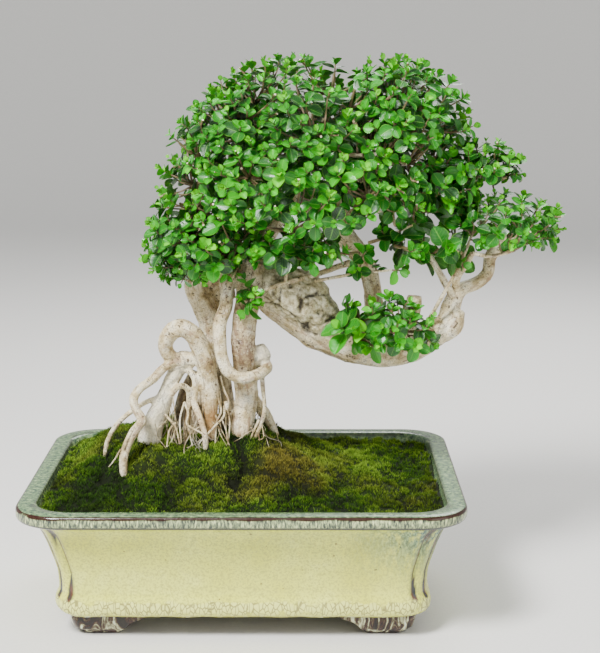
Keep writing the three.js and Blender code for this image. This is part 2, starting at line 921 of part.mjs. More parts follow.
// Assembly
const sites = spraySites();
const limbRoutes = [...Object.values(TRUNKS).slice(-2), ...Object.values(LIMBS)];
const limbPoints = limbRoutes
  .flatMap((route) => limbStations(route, 3))
  .filter(({ at, radius }) => radius < 8 && at.z > 190);
const branches = sites.map((site) => limbStations(branchRoute(site, limbPoints), 1));
const thick = [TRUNKS, CUT_STUBS, SWELLINGS].flatMap(Object.values);
const woodRuns = [
  ...thick.map((route, index) => [limbStations(route, 1), TRUNK_SIDES, 0.07, index + 3]),
  ...Object.values(ROOTS).map((route, index) => [limbStations(route, 1), ROOT_SIDES, 0.05, index + 31]),
  ...Object.values(LIMBS).map((route, index) => [limbStations(route, 1), TWIG_SIDES, 0.05, index + 61]),
  ...branches.map((stations) => [stations, TWIG_SIDES, 0, 1]),
];
const woodSolid = (extra) =>
  joined(woodRuns.map(([stations, sides, gnarl, seed]) => limb(stations, sides, extra, gnarl, seed)));
const wood = woodSolid(0);
const woodRoom = woodSolid(CLEARANCE);
const space = hollow();

const lineOf = (from, to, radius) => ({ line: new THREE.Line3(from, to), radius });
const woodLines = woodRuns.flatMap(([stations]) =>
  stations
    .slice(1)
    .map(({ at, radius }, index) =>
      lineOf(stations[index].at, at, Math.max(radius, stations[index].radius) + 2 * CLEARANCE),
    ),
);
const stemLines = sites.map(({ foot, heart }) => lineOf(foot, heart, 3 * STEM_HALF));

const group = new THREE.Group();

function addNode(name, geometry, color, roughness, metalness = 0) {
  const mesh = new THREE.Mesh(geometry, new THREE.MeshStandardMaterial({ color, roughness, metalness }));
  mesh.name = name;
  group.add(mesh);
}

addNode('pot', geometryOf(pot()), COLOURS.glaze, 0.25);
addNode('drain_screen_left', geometryOf(screen(-1)), COLOURS.screen, 0.6);
addNode('drain_screen_right', geometryOf(screen(1)), COLOURS.screen, 0.6);
addNode('soil', geometryOf(soil(space, woodRoom)), COLOURS.soil, 0.95);
for (const [name, pad] of mossPads(space, woodRoom)) {
  addNode(name, geometryOf(pad), COLOURS.moss, 0.95);
}
addNode('tree_wood', geometryOf(wood), COLOURS.bark, 0.8);

const draw = draws(20);
sites.forEach((site, index) => {
  const others = stemLines.filter((_, other) => other !== index);
  const axis = branches[index].at(-1).way;
  const leaves = spray(site, axis, sites, [...woodLines, ...others], draw).subtract(woodRoom);
  const name = `spray_${String(index + 1).padStart(2, '0')}`;
  addNode(name, geometryOf(largest(leaves)), COLOURS.leaf, 0.35);
});

const reach = new THREE.Box3().setFromObject(group);
const middle = reach.getCenter(new THREE.Vector3());
group.position.set(-middle.x, -middle.y, -reach.min.z);

export default group;
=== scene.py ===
# %% [markdown]
# # A premna bonsai in its glazed pot
# The real thing is a small tree with bare, looping roots, a trunk that dips to the right and climbs
# again, and a dome of small glossy leaves. It grows from mossy soil in a glazed stoneware pot.
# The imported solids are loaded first. They fix every place and size, and the pieces made below stand
# for them with the finer shapes that solids can't carry.

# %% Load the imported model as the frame
import json
import math

import bpy
import numpy as np
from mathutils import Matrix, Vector
from mathutils.kdtree import KDTree

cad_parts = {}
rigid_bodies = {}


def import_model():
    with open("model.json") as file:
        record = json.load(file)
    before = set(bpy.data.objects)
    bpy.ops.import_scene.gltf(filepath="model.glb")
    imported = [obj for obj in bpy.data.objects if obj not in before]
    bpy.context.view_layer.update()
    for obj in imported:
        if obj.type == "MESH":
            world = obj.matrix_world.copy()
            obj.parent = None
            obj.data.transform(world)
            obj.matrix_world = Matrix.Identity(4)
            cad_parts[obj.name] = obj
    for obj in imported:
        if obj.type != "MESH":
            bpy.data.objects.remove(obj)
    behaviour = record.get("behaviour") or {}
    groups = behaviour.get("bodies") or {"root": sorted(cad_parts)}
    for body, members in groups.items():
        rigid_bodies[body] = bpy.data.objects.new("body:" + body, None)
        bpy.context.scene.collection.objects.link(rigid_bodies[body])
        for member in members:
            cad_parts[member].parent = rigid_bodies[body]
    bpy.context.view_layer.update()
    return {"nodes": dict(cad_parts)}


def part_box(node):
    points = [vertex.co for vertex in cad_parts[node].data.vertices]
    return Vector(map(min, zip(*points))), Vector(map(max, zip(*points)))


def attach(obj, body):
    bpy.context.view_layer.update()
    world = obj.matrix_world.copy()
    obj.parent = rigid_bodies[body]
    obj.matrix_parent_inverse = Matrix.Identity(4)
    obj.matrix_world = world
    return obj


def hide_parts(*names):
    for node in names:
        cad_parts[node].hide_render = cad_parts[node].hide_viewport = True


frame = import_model()
pot_low, pot_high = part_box("pot")
POT_MIDDLE_X = (pot_low[0] + pot_high[0]) / 2
print("solids:", len(frame["nodes"]), "pot middle at x", round(POT_MIDDLE_X, 4))

# %% [markdown]
# The camera comes first, because each later piece is judged through it. A photograph of a pot shows
# its rim, walls and feet at once, so their drawn lines give the lens and the tilt: a long lens about
# 1.1 m away, looking down by about 11 degrees. All measures below are millimetres from the middle of
# the pot at table height, and one function moves them to the frame in metres.

# %% Camera
CAMERA_PLACE = [42.0, -1078.0, 409.0]
LENS, TILT_DOWN, TURN_LEFT = 84.6, 10.9, 0.15


def to_frame(points):
    """Millimetres from the pot's middle to metres in the frame."""
    return np.asarray(points, dtype=float) * 0.001 + np.array([POT_MIDDLE_X, 0.0, 0.0])


camera_data = bpy.data.cameras.new("camera")
camera_data.lens = LENS
camera_data.sensor_width = 36.0
camera = bpy.data.objects.new("camera", camera_data)
camera.location = to_frame(CAMERA_PLACE)
camera.rotation_euler = (math.radians(90 - TILT_DOWN), 0.0, math.radians(TURN_LEFT))
bpy.context.scene.collection.objects.link(camera)
bpy.context.scene.camera = camera
print("camera at", [round(value, 3) for value in camera.location])

# %% [markdown]
# A few small tools serve every piece. One turns sRGB hex colours to the linear values that shaders
# use. One adds a shader node with its settings and links, and one starts a material. One turns arrays
# of points and faces into an object that rides on the frame, which is far quicker than adding faces
# one by one, and one reads the points of a finished mesh back.

# %% Helpers for colours, nodes and materials
def linear(code):
    """An sRGB hex colour as linear RGBA."""
    parts = [int(code[place : place + 2], 16) / 255 for place in (1, 3, 5)]
    return tuple(p / 12.92 if p <= 0.04045 else ((p + 0.055) / 1.055) ** 2.4 for p in parts) + (1.0,)


def add_node(tree, kind, settings=None, inputs=None, stops=None):
    """Adds a node with its settings, links or sets its inputs, and places the stops of a ramp."""
    made = tree.nodes.new(kind)
    for key, value in (settings or {}).items():
        setattr(made, key, value)
    for key, value in (inputs or {}).items():
        if isinstance(value, bpy.types.Node):
            value = next(output for output in value.outputs if output.enabled)
        if isinstance(value, bpy.types.NodeSocket):
            tree.links.new(value, made.inputs[key])
        else:
            made.inputs[key].default_value = value
    for index, (place, shade) in enumerate(stops or []):
        elements = made.color_ramp.elements
        element = elements[index] if index < 2 else elements.new(place)
        element.position = place
        element.color = linear(shade) if isinstance(shade, str) else (shade, shade, shade, 1.0)
    return made


def new_material(name, **uniform):
    """A material with one Principled shader, and its values that are the same all over."""
    material = bpy.data.materials.new(name)
    material.use_nodes = True
    shader = material.node_tree.nodes["Principled BSDF"]
    for key, value in uniform.items():
        shader.inputs[key.replace("_", " ").title().replace("Ior", "IOR")].default_value = value
    return material, material.node_tree, shader


print("white is", [round(part, 3) for part in linear("#ffffff")])

# %% Helpers for meshes
def points_of(mesh):
    """Where the points of a mesh lie, in millimetres from the pot's middle."""
    spots = np.zeros(len(mesh.vertices) * 3)
    mesh.vertices.foreach_get("co", spots)
    return (spots.reshape(-1, 3) - [POT_MIDDLE_X, 0, 0]) * 1000


def store_marks(mesh, marks):
    """Keeps marks of three numbers a point on a mesh, as colours that its shader can read."""
    for name, values in marks.items():
        layer = mesh.attributes.new(name, "FLOAT_COLOR", "POINT")
        rgba = np.column_stack([np.asarray(values, float), np.ones(len(mesh.vertices))])
        layer.data.foreach_set("color", rgba.astype(np.float32).ravel())


def add_piece(name, points, faces, materials, material_index=0, marks=None, sharp=math.radians(50)):
    """An object from millimetre points and a list of face arrays, riding on the one body."""
    mesh = bpy.data.meshes.new(name)
    corners = np.concatenate([np.asarray(part).ravel() for part in faces]).astype(np.int32)
    sizes = np.concatenate([np.full(len(part), np.asarray(part).shape[1]) for part in faces])
    starts = np.concatenate([[0], np.cumsum(sizes)[:-1]]).astype(np.int32)
    mesh.vertices.add(len(points))
    mesh.vertices.foreach_set("co", to_frame(points).astype(np.float32).ravel())
    mesh.loops.add(len(corners))
    mesh.loops.foreach_set("vertex_index", corners)
    mesh.polygons.add(len(starts))
    mesh.polygons.foreach_set("loop_start", starts)
    mesh.polygons.foreach_set("use_smooth", np.ones(len(starts), dtype=bool))
    index = np.broadcast_to(np.asarray(material_index, dtype=np.int32), len(starts))
    mesh.polygons.foreach_set("material_index", np.ascontiguousarray(index))
    store_marks(mesh, marks or {})
    mesh.update(calc_edges=True)
    mesh.set_sharp_from_angle(angle=sharp)
    for material in materials:
        mesh.materials.append(material)
    made = bpy.data.objects.new(name, mesh)
    bpy.context.scene.collection.objects.link(made)
    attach(made, "root")
    return made


print("one metre is", float(to_frame([1000, 0, 0])[0] - to_frame([0, 0, 0])[0]), "in the frame")

# %% [markdown]
# Nothing natural repeats, yet the script must give the same tree each time. A seeded generator draws
# the random numbers, and one function gives smooth noise in space for bumps, moss and bark. Wherever
# it is called, its numbers are the grain in millimetres, the seed and how many layers are added.

# %% Seeded noise
rng = np.random.default_rng(7)


def space_noise(points, seed=0):
    """Smooth noise from 0 to 1, one lattice cell per unit."""
    cell = np.floor(points).astype(np.int64)
    part = points - cell
    part = part * part * (3 - 2 * part)
    total = np.zeros(len(points))
    for corner in range(8):
        step = np.array([corner & 1, (corner >> 1) & 1, corner >> 2])
        key = ((cell + step) * np.array([73856093, 19349663, 83492791])).sum(axis=1) + seed * 7919
        key = (key ^ (key >> 13)) * 1274126177
        key = (key ^ (key >> 16)) & 0xFFFF
        total += np.prod(np.where(step, part, 1 - part), axis=1) * key / 65535
    return total


def layered_noise(points, size, seed=0, layers=3):
    """Noise of a given grain in millimetres, with finer layers on top."""
    total, weight = np.zeros(len(points)), 0.0
    for layer in range(layers):
        total += space_noise(points * (2**layer / size), seed + layer) / 2**layer
        weight += 1 / 2**layer
    return total / weight


print("noise test", round(float(layered_noise(np.array([[1.0, 2.0, 3.0]]), 5.0)[0]), 3))

# %% [markdown]
# The pot is one fired piece: a plinth with a rolled foot ring, hollow-curved walls, a coved neck and a
# flat lip. A loft fits it best. One profile gives inset and height, and each of its levels becomes a
# rounded rectangle. Two shallow grooves with a ridge between them run up each corner, and a little
# noise keeps the walls from looking machined.

# %% Pot profile, as inset and height in millimetres
POT_LENGTH, POT_DEPTH, POT_HEIGHT = 305.0, 230.0, 96.0
RIM_CORNER, CORNER_SHRINK = 32.0, 0.45
FOOT_HEIGHT, FLOOR_TOP = 16.0, 24.0
OUTSIDE = [(30, FOOT_HEIGHT), (26.6, 16.6), (24.6, 18.4), (23.2, 20.6), (22.7, 23.4), (22.8, 26)]
OUTSIDE += [(23.5, 28.6), (24.6, 30.6), (25.4, 32.4), (25.5, 36), (25.2, 41), (24.6, 47), (23.1, 53)]
OUTSIDE += [(20.9, 60), (18.7, 67), (16.3, 73.4), (14.0, 78.4), (11.4, 82), (9.2, 84.2), (7.2, 85.4)]
OUTSIDE += [(5.0, 86.0), (2.6, 86.5), (0.9, 87.6), (0.1, 89.4), (0, 92.4), (0.1, 94.2), (0.7, 95.4)]
OUTSIDE += [(1.9, POT_HEIGHT)]
INSIDE = [(6.5, 96.1), (11.2, 96), (12.6, 95.5), (13.4, 94.4), (14, 92), (17, 85), (22, 74), (27, 62)]
INSIDE += [(31, 44), (35, FLOOR_TOP)]
print("pot profile levels:", len(OUTSIDE), "outside and", len(INSIDE), "inside")

# %% Rings of the pot
CORNER_STEPS, LONG_STEPS, SHORT_STEPS = 24, 16, 12
CORNER_SIGNS = [(1, 1), (-1, 1), (-1, -1), (1, -1)]
GROOVES, GROOVE_WIDTH, GROOVE_DEPTH = (0.33, 0.67), 0.055, 1.9
RIDGE_WIDTH, RIDGE_RISE = 0.09, 0.7
WALL_MIDDLE, WALL_REACH = 58, 23
WAVES, WAVE_HEIGHT, WALL_NOISE = 26, 0.45, 0.0022


def pot_ring(inset, height):
    """One level of the pot as a rounded rectangle, anticlockwise from +X."""
    half = np.array([POT_LENGTH / 2 - inset, POT_DEPTH / 2 - inset])
    radius = RIM_CORNER - inset * CORNER_SHRINK
    ring = []
    for corner in range(4):
        middle = (half - radius) * np.array(CORNER_SIGNS[corner])
        for step in range(CORNER_STEPS + 1):
            share = step / CORNER_STEPS
            angle = (corner + share) * math.pi / 2
            on_wall = math.exp(-(((height - WALL_MIDDLE) / WALL_REACH) ** 4))
            groove = sum(math.exp(-(((share - place) / GROOVE_WIDTH) ** 2)) for place in GROOVES)
            ridge = math.exp(-(((share - 0.5) / RIDGE_WIDTH) ** 2))
            reach = radius - on_wall * (GROOVE_DEPTH * groove - RIDGE_RISE * ridge)
            ring.append(middle + reach * np.array([math.cos(angle), math.sin(angle)]))
        steps = LONG_STEPS if corner in (0, 2) else SHORT_STEPS
        start = ring[-1]
        turned = np.array(CORNER_SIGNS[(corner + 1) % 4])
        angle = (corner + 1) * math.pi / 2
        end = (half - radius) * turned + radius * np.array([math.cos(angle), math.sin(angle)])
        ring += [start + (end - start) * step / steps for step in range(1, steps)]
    ring = np.array(ring)
    return np.column_stack([ring, np.full(len(ring), float(height))])


def lofted(rings):
    """Points and faces of a closed skin over rings of equal count."""
    count, last = len(rings[0]), len(rings) - 1
    side = np.arange(count)
    after = (side + 1) % count
    band = np.column_stack([side, after, after + count, side + count])
    quads = [band + level * count for level in range(last)]
    caps = [side[::-1][None, :], (side + last * count)[None, :]]
    return np.concatenate(rings), [np.concatenate(quads)] + caps


rings = [pot_ring(*level) for level in OUTSIDE + INSIDE]
for ring, (inset, height) in zip(rings, OUTSIDE + INSIDE):
    if height < 34 and inset < 29:
        around = np.arctan2(ring[:, 1], ring[:, 0])
        ring[:, 2] += WAVE_HEIGHT * np.sin(around * WAVES) * (1 - abs(height - 20) / 14)
    ring[:, :2] *= 1 + WALL_NOISE * (layered_noise(ring, 38.0, 3)[:, None] - 0.5)
print("pot levels:", len(rings), "points a level:", len(rings[0]))

# %% [markdown]
# The four feet are low brackets with scrolled inner ends. Each is lofted from rounded rectangles that
# shrink towards the table, then joined to the pot with a Boolean, which also cuts the two drainage
# holes. The Boolean keeps the pot one closed skin, as the fired piece is.

# %% Outline of a foot
def plain_object(name, points, faces):
    """A bare object for modifiers to work on, not yet part of the tree."""
    mesh = bpy.data.meshes.new(name)
    listed = [tuple(face) for part in faces for face in part.tolist()]
    mesh.from_pydata([tuple(p) for p in to_frame(points)], [], listed)
    made = bpy.data.objects.new(name, mesh)
    bpy.context.scene.collection.objects.link(made)
    return made


def foot_ring(height, way_x, way_y):
    """A foot's outline at one height, in the corner given by the signs."""
    low = [np.interp(height, [0, 4, 10, 13, 18], [i + 20, i + 15, i + 9, i, i - 3]) for i in (66, 40)]
    high = [np.interp(height, [0, 5, 12, 18], [o - 7, o - 2, o, o - 1]) for o in (119.5, 82.5)]
    ring = []
    for corner, radius in ((0, 9.0), (1, 3.0), (2, 3.0), (3, 3.0)):
        x = (high if corner in (0, 3) else low)[0]
        y = (high if corner in (0, 1) else low)[1]
        sign = np.array(CORNER_SIGNS[corner])
        for step in range(7):
            angle = (corner + step / 6) * math.pi / 2
            spot = np.array([x, y]) - sign * radius + radius * np.array([math.cos(angle), math.sin(angle)])
            ring.append((way_x * spot[0], way_y * spot[1], height))
    return np.array(ring if way_x * way_y > 0 else ring[::-1])


FOOT_LEVELS = (0.0, 0.5, 1.6, 3.2, 5, 7, 9, 10.6, 12, 13.4, 15, 18)
print("points in a foot's outline:", len(foot_ring(0.0, 1, 1)))

# %% Pot body, feet and drainage holes
DRAIN_PLACE, DRAIN_RADIUS, DRAIN_SIDES = 62, 10, 32
body = plain_object("pot_body", *lofted(rings))
cutters = []
for way_x in (1, -1):
    for way_y in (1, -1):
        levels = [foot_ring(height, way_x, way_y) for height in FOOT_LEVELS]
        levels[0][:, :2] += (levels[2][:, :2].mean(axis=0) - levels[0][:, :2]) * 0.05
        cutters.append((plain_object("foot", *lofted(levels)), "UNION"))
for side in (-1, 1):
    turn = np.linspace(0, 2 * math.pi, DRAIN_SIDES + 1)[:-1]
    east, north = DRAIN_RADIUS * np.cos(turn), DRAIN_RADIUS * np.sin(turn)
    circle = np.column_stack([side * DRAIN_PLACE + east, north, np.zeros(DRAIN_SIDES)])
    cutters.append((plain_object("drain", *lofted([circle, circle + [0, 0, 40]])), "DIFFERENCE"))
for cutter, operation in cutters:
    modifier = body.modifiers.new(operation, "BOOLEAN")
    modifier.object, modifier.operation, modifier.solver = cutter, operation, "EXACT"
bpy.context.view_layer.update()
fired = bpy.data.meshes.new_from_object(body.evaluated_get(bpy.context.evaluated_depsgraph_get()))
for extra in [body] + [cutter for cutter, _ in cutters]:
    bpy.data.objects.remove(extra)
print("fired pot faces:", len(fired.polygons))

# %% [markdown]
# The glaze is a cream feldspathic stoneware glaze. Where it was poured thick, at the lip and in the
# corner grooves, it turned blue-green. Where it ran thin over an edge, the iron in the clay shows as a
# brown line. So the paint follows the form, and each point is marked by where it lies on the profile:
# lip, worn edge, plinth band, groove and foot. The shader mixes its colours by these marks.

# %% Helpers for distance and soft edges
def distance_in(points):
    """How far a point lies inside the rim's outline, in millimetres."""
    past = np.abs(points[:, :2]) - (np.array([POT_LENGTH, POT_DEPTH]) / 2 - RIM_CORNER)
    corner = np.hypot(*np.maximum(past, 0).T)
    return RIM_CORNER - np.where(corner > 0, corner, past.max(axis=1))


def peak(values, middle, width):
    """A bell curve: 1 at the middle value, falling off over the width."""
    return np.exp(-(((values - middle) / width) ** 2))


print("the pot's middle lies", float(distance_in(np.zeros((1, 3)))[0]), "mm inside the rim")

# %% Where each mark lies on the pot
LIP_LOW, LIP_HIGH, PLINTH_TOP = 85.5, 94.6, 28
spots = points_of(fired)
inset, height = distance_in(spots), spots[:, 2]
lip = np.clip((height - LIP_LOW) / 1.5, 0, 1)
worn = np.clip(peak(inset, 0.7, 0.95) * (height > 94.0), 0, 1)
worn = np.maximum(worn, 0.75 * (height < 1.2))
band = np.clip(peak(height, 23.5, 6.5), 0, 1) * (height > FOOT_HEIGHT)
wall_inset = np.interp(height, [level for _, level in OUTSIDE], [side for side, _ in OUTSIDE])
wall_radius = RIM_CORNER - wall_inset * CORNER_SHRINK
past = np.abs(spots[:, :2]) - np.array([POT_LENGTH, POT_DEPTH]) / 2 + (wall_inset + wall_radius)[:, None]
turn = np.degrees(np.arctan2(np.maximum(past[:, 1], 0.001), np.maximum(past[:, 0], 0.001)))
on_corner = (past > 0.5).all(axis=1) & (inset < wall_inset + 4)
on_corner = on_corner & (height > PLINTH_TOP) & (height < 86)
groove = on_corner * sum(peak(turn, 90 * place, 6.0) for place in GROOVES)
foot = np.clip((17.5 - height) / 1.5, 0, 1)
runs = 0.22 + 0.78 * np.clip((spots[:, 0] - 70) / 50, 0, 1)
runs = runs * np.clip((height - 46 + 0.1 * spots[:, 0]) / 40, 0, 1)
face = lip * (inset < 1.2) * (height < LIP_HIGH)
# Painted shade: the under mark gives a dark line beneath the lip's overhang, where its shadow falls.
under = peak(height, 86.9, 1.4) * (inset < 6.5)
# Painted shade: the inner mark gives a dark band at the top of the inner wall, where the moss meets it.
inner = peak(inset, 13.2, 0.7) * (height > 92)
print("points on the lip:", int((lip > 0.5).sum()), "and in the grooves:", int((groove > 0.5).sum()))

# %% Marks stored on the pot
marks = {"glaze": [lip, worn, band], "thick": [groove, runs, foot], "lip_edge": [face, under, inner]}
store_marks(fired, {name: np.column_stack(values) for name, values in marks.items()})
fired.polygons.foreach_set("use_smooth", np.ones(len(fired.polygons), dtype=bool))
fired.set_sharp_from_angle(angle=math.radians(42))
print("marked points:", len(spots))

# %% [markdown]
# Glazed stoneware: glass fused on clay, so IOR 1.5, no metal, and a low roughness that rises where the
# glaze is matt. Speckles are about 1.5 mm, the drips on the lip's face a little over 1 mm wide, the
# runs 4 to 5 mm wide and drawn out downwards, and the crackled cells of the plinth 3 mm wide and 6 mm
# tall. The scales below are one over those sizes.

# %% Cream glaze of the walls
COLOUR_MIX = {"data_type": "RGBA"}
glaze, tree, shader = new_material("cream_stoneware_glaze", ior=1.5)
where = add_node(tree, "ShaderNodeTexCoord").outputs["Object"]
mm = add_node(tree, "ShaderNodeVectorMath", {"operation": "SCALE"}, {0: where, "Scale": 1000.0})
mark = add_node(tree, "ShaderNodeAttribute", {"attribute_name": "glaze"})
mark = add_node(tree, "ShaderNodeSeparateColor", {}, {0: mark}).outputs
thick = add_node(tree, "ShaderNodeAttribute", {"attribute_name": "thick"})
thick = add_node(tree, "ShaderNodeSeparateColor", {}, {0: thick}).outputs
lip_edge = add_node(tree, "ShaderNodeAttribute", {"attribute_name": "lip_edge"})
lip_edge = add_node(tree, "ShaderNodeSeparateColor", {}, {0: lip_edge}).outputs
drawn = add_node(tree, "ShaderNodeVectorMath", {"operation": "MULTIPLY"}, {0: mm, 1: (1.0, 1.0, 0.16)})

cloud = add_node(tree, "ShaderNodeTexNoise", {}, {"Vector": mm, "Scale": 1 / 30, "Detail": 4.0})
cream = [(0.3, "#d6d852"), (0.52, "#e0e464"), (0.75, "#eaef7c")]
cream = add_node(tree, "ShaderNodeValToRGB", {}, {"Fac": cloud}, cream)
speckle = {"Vector": mm, "Scale": 1 / 1.5, "Detail": 2.0, "Roughness": 0.7}
speckle = add_node(tree, "ShaderNodeTexNoise", {}, speckle)
speckle = add_node(tree, "ShaderNodeValToRGB", {}, {"Fac": speckle}, [(0.38, 0.7), (0.54, 0.0)])
cream = add_node(tree, "ShaderNodeMix", COLOUR_MIX, {0: speckle, 6: cream, 7: linear("#adad58")})
iron = {"Vector": mm, "Scale": 1 / 3.6, "Detail": 1.0, "Roughness": 0.4}
iron = add_node(tree, "ShaderNodeTexNoise", {}, iron)
iron = add_node(tree, "ShaderNodeValToRGB", {}, {"Fac": iron}, [(0.79, 0.0), (0.8, 0.8)])
cream = add_node(tree, "ShaderNodeMix", COLOUR_MIX, {0: iron, 6: cream, 7: linear("#5d452a")})
print("cream glaze nodes:", len(tree.nodes))

# %% Blue runs and dark grooves
streak = {"Vector": drawn, "Scale": 1 / 4.5, "Detail": 5.0, "Roughness": 0.65}
streak = add_node(tree, "ShaderNodeTexNoise", {}, streak)
streak_share = add_node(tree, "ShaderNodeValToRGB", {}, {"Fac": streak}, [(0.32, 0.0), (0.52, 1.0)])
run_share = add_node(tree, "ShaderNodeMath", {"operation": "MULTIPLY"}, {0: streak_share, 1: thick["Green"]})
blue = [(0.35, "#2f504c"), (0.5, "#5b7f68"), (0.65, "#a3ba84")]
fine_streak = {"Vector": drawn, "Scale": 1 / 1.4, "Detail": 3.0, "Roughness": 0.6}
fine_streak = add_node(tree, "ShaderNodeTexNoise", {}, fine_streak)
blue = add_node(tree, "ShaderNodeValToRGB", {}, {"Fac": fine_streak}, blue)
coat = add_node(tree, "ShaderNodeMix", COLOUR_MIX, {0: run_share, 6: cream, 7: blue})
groove_coat = [(0.36, "#1f292c"), (0.48, "#3c3a34"), (0.58, "#613b28"), (0.7, "#8d9681")]
groove_coat = add_node(tree, "ShaderNodeValToRGB", {}, {"Fac": streak}, groove_coat)
groove_share = {"operation": "MULTIPLY", "use_clamp": True}
groove_share = add_node(tree, "ShaderNodeMath", groove_share, {0: thick["Red"], 1: 1.5})
coat = add_node(tree, "ShaderNodeMix", COLOUR_MIX, {0: groove_share, 6: coat, 7: groove_coat})
print("wall glaze nodes:", len(tree.nodes))

# %% Crackled plinth
cell = add_node(tree, "ShaderNodeVectorMath", {"operation": "MULTIPLY"}, {0: mm, 1: (1.0, 1.0, 0.5)})
crackle = {"Vector": cell, "Scale": 1 / 2.8}
crackle = add_node(tree, "ShaderNodeTexVoronoi", {"feature": "DISTANCE_TO_EDGE"}, crackle)
crackled = [(0.03, "#868150"), (0.11, "#eaee88")]
crackled = add_node(tree, "ShaderNodeValToRGB", {}, {"Fac": crackle}, crackled)
patches = add_node(tree, "ShaderNodeTexNoise", {}, {"Vector": mm, "Scale": 1 / 9, "Detail": 2.0})
band_share = add_node(tree, "ShaderNodeMath", {"operation": "MULTIPLY"}, {0: mark["Blue"], 1: patches})
band_share = add_node(tree, "ShaderNodeValToRGB", {}, {"Fac": band_share}, [(0.25, 0.0), (0.35, 0.85)])
coat = add_node(tree, "ShaderNodeMix", COLOUR_MIX, {0: band_share, 6: coat, 7: crackled})
print("plinth covers", round(float(np.mean(band > 0.5)), 2), "of the pot's points")

# %% Mottled lip, its dripping face, and painted shade under the lip and inside the rim
mottle = {"Vector": mm, "Scale": 1 / 3.2, "Detail": 4.0, "Roughness": 0.7}
mottle = add_node(tree, "ShaderNodeTexNoise", {}, mottle)
lip_coat = [(0.34, "#31463c"), (0.46, "#55704f"), (0.57, "#768f63"), (0.68, "#a8bb88")]
lip_coat = add_node(tree, "ShaderNodeValToRGB", {}, {"Fac": mottle}, lip_coat)
coat = add_node(tree, "ShaderNodeMix", COLOUR_MIX, {0: mark["Red"], 6: coat, 7: lip_coat})
short_drops = add_node(tree, "ShaderNodeVectorMath", {"operation": "MULTIPLY"}, {0: mm, 1: (1.0, 1.0, 0.25)})
drops = {"Vector": short_drops, "Scale": 1 / 1.2, "Detail": 3.0, "Roughness": 0.65}
drops = add_node(tree, "ShaderNodeTexNoise", {}, drops)
face_coat = [(0.38, "#394239"), (0.46, "#667158"), (0.55, "#9dab78"), (0.67, "#dbe1a8")]
face_coat = add_node(tree, "ShaderNodeValToRGB", {}, {"Fac": drops}, face_coat)
coat = add_node(tree, "ShaderNodeMix", COLOUR_MIX, {0: lip_edge["Red"], 6: coat, 7: face_coat})
# Painted shade: a dark grey line under the lip's overhang.
under_lip_shade_share = add_node(tree, "ShaderNodeMath", {"operation": "MULTIPLY"}, {0: lip_edge["Green"], 1: drops})
under_lip_shade_share = add_node(tree, "ShaderNodeValToRGB", {}, {"Fac": under_lip_shade_share}, [(0.1, 0.0), (0.32, 0.95)])
coat = add_node(tree, "ShaderNodeMix", COLOUR_MIX, {0: under_lip_shade_share, 6: coat, 7: linear("#2e2d33")})
# Painted shade in the gap between the moss and the inner wall.
rim_gap_shade_share = add_node(tree, "ShaderNodeMath", {"operation": "MULTIPLY"}, {0: lip_edge["Blue"], 1: 0.85})
coat = add_node(tree, "ShaderNodeMix", COLOUR_MIX, {0: rim_gap_shade_share, 6: coat, 7: linear("#3b3a31")})
print("lip glaze nodes:", len(tree.nodes))

# %% Swirled feet, worn edges and relief
swirl = {"Vector": drawn, "Scale": 1 / 8, "Detail": 4.0, "Roughness": 0.6, "Distortion": 1.6}
swirl = add_node(tree, "ShaderNodeTexNoise", {}, swirl)
foot_coat = [(0.38, "#150c08"), (0.47, "#3f2216"), (0.53, "#7d7a5c"), (0.59, "#d6d8ac"), (0.68, "#d6e4e8")]
foot_coat = add_node(tree, "ShaderNodeValToRGB", {}, {"Fac": swirl}, foot_coat)
coat = add_node(tree, "ShaderNodeMix", COLOUR_MIX, {0: thick["Blue"], 6: coat, 7: foot_coat})

uneven = add_node(tree, "ShaderNodeTexNoise", {}, {"Vector": mm, "Scale": 1 / 14, "Detail": 4.0})
uneven = add_node(tree, "ShaderNodeMath", {"operation": "MULTIPLY_ADD"}, {0: uneven, 1: 1.6, 2: 0.05})
wear = add_node(tree, "ShaderNodeMath", {"operation": "MULTIPLY"}, {0: mark["Green"], 1: uneven})
wear = add_node(tree, "ShaderNodeValToRGB", {}, {"Fac": wear}, [(0.3, 0.0), (0.52, 0.97)])
coat = add_node(tree, "ShaderNodeMix", COLOUR_MIX, {0: wear, 6: coat, 7: linear("#2f1008")})
tree.links.new(coat.outputs[2], shader.inputs["Base Color"])
gloss = add_node(tree, "ShaderNodeValToRGB", {}, {"Fac": cloud}, [(0.3, 0.16), (0.7, 0.3)])
tree.links.new(gloss.outputs[0], shader.inputs["Roughness"])
grit = add_node(tree, "ShaderNodeTexNoise", {}, {"Vector": mm, "Scale": 1 / 1.6, "Detail": 2.0})
waves = add_node(tree, "ShaderNodeTexNoise", {}, {"Vector": mm, "Scale": 1 / 8, "Detail": 2.0})
relief = add_node(tree, "ShaderNodeMath", {"operation": "MULTIPLY_ADD"}, {0: grit, 1: 0.35, 2: waves})
pillow = add_node(tree, "ShaderNodeMath", {"operation": "MULTIPLY"}, {0: crackle, 1: band_share})
relief = add_node(tree, "ShaderNodeMath", {"operation": "MULTIPLY_ADD"}, {0: pillow, 1: 1.6, 2: relief})
bump = add_node(tree, "ShaderNodeBump", {}, {"Strength": 0.3, "Distance": 0.0006, "Height": relief})
tree.links.new(bump.outputs[0], shader.inputs["Normal"])
print("all glaze nodes:", len(tree.nodes))

# %% The glazed pot in its place
fired.materials.clear()
fired.materials.append(glaze)
pot_piece = bpy.data.objects.new("stoneware_pot", fired)
bpy.context.scene.collection.objects.link(pot_piece)
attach(pot_piece, "root")
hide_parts("pot")
print("glaze on", len(fired.polygons), "faces")

# %% [markdown]
# Damp soil shows only in the gaps between moss cushions, and a black plastic mesh only through the
# drainage holes. Their solids already have the right shape, so they keep it and get their materials:
# dark crumbs of 1 to 4 mm for the soil, and matt moulded polythene for the mesh.

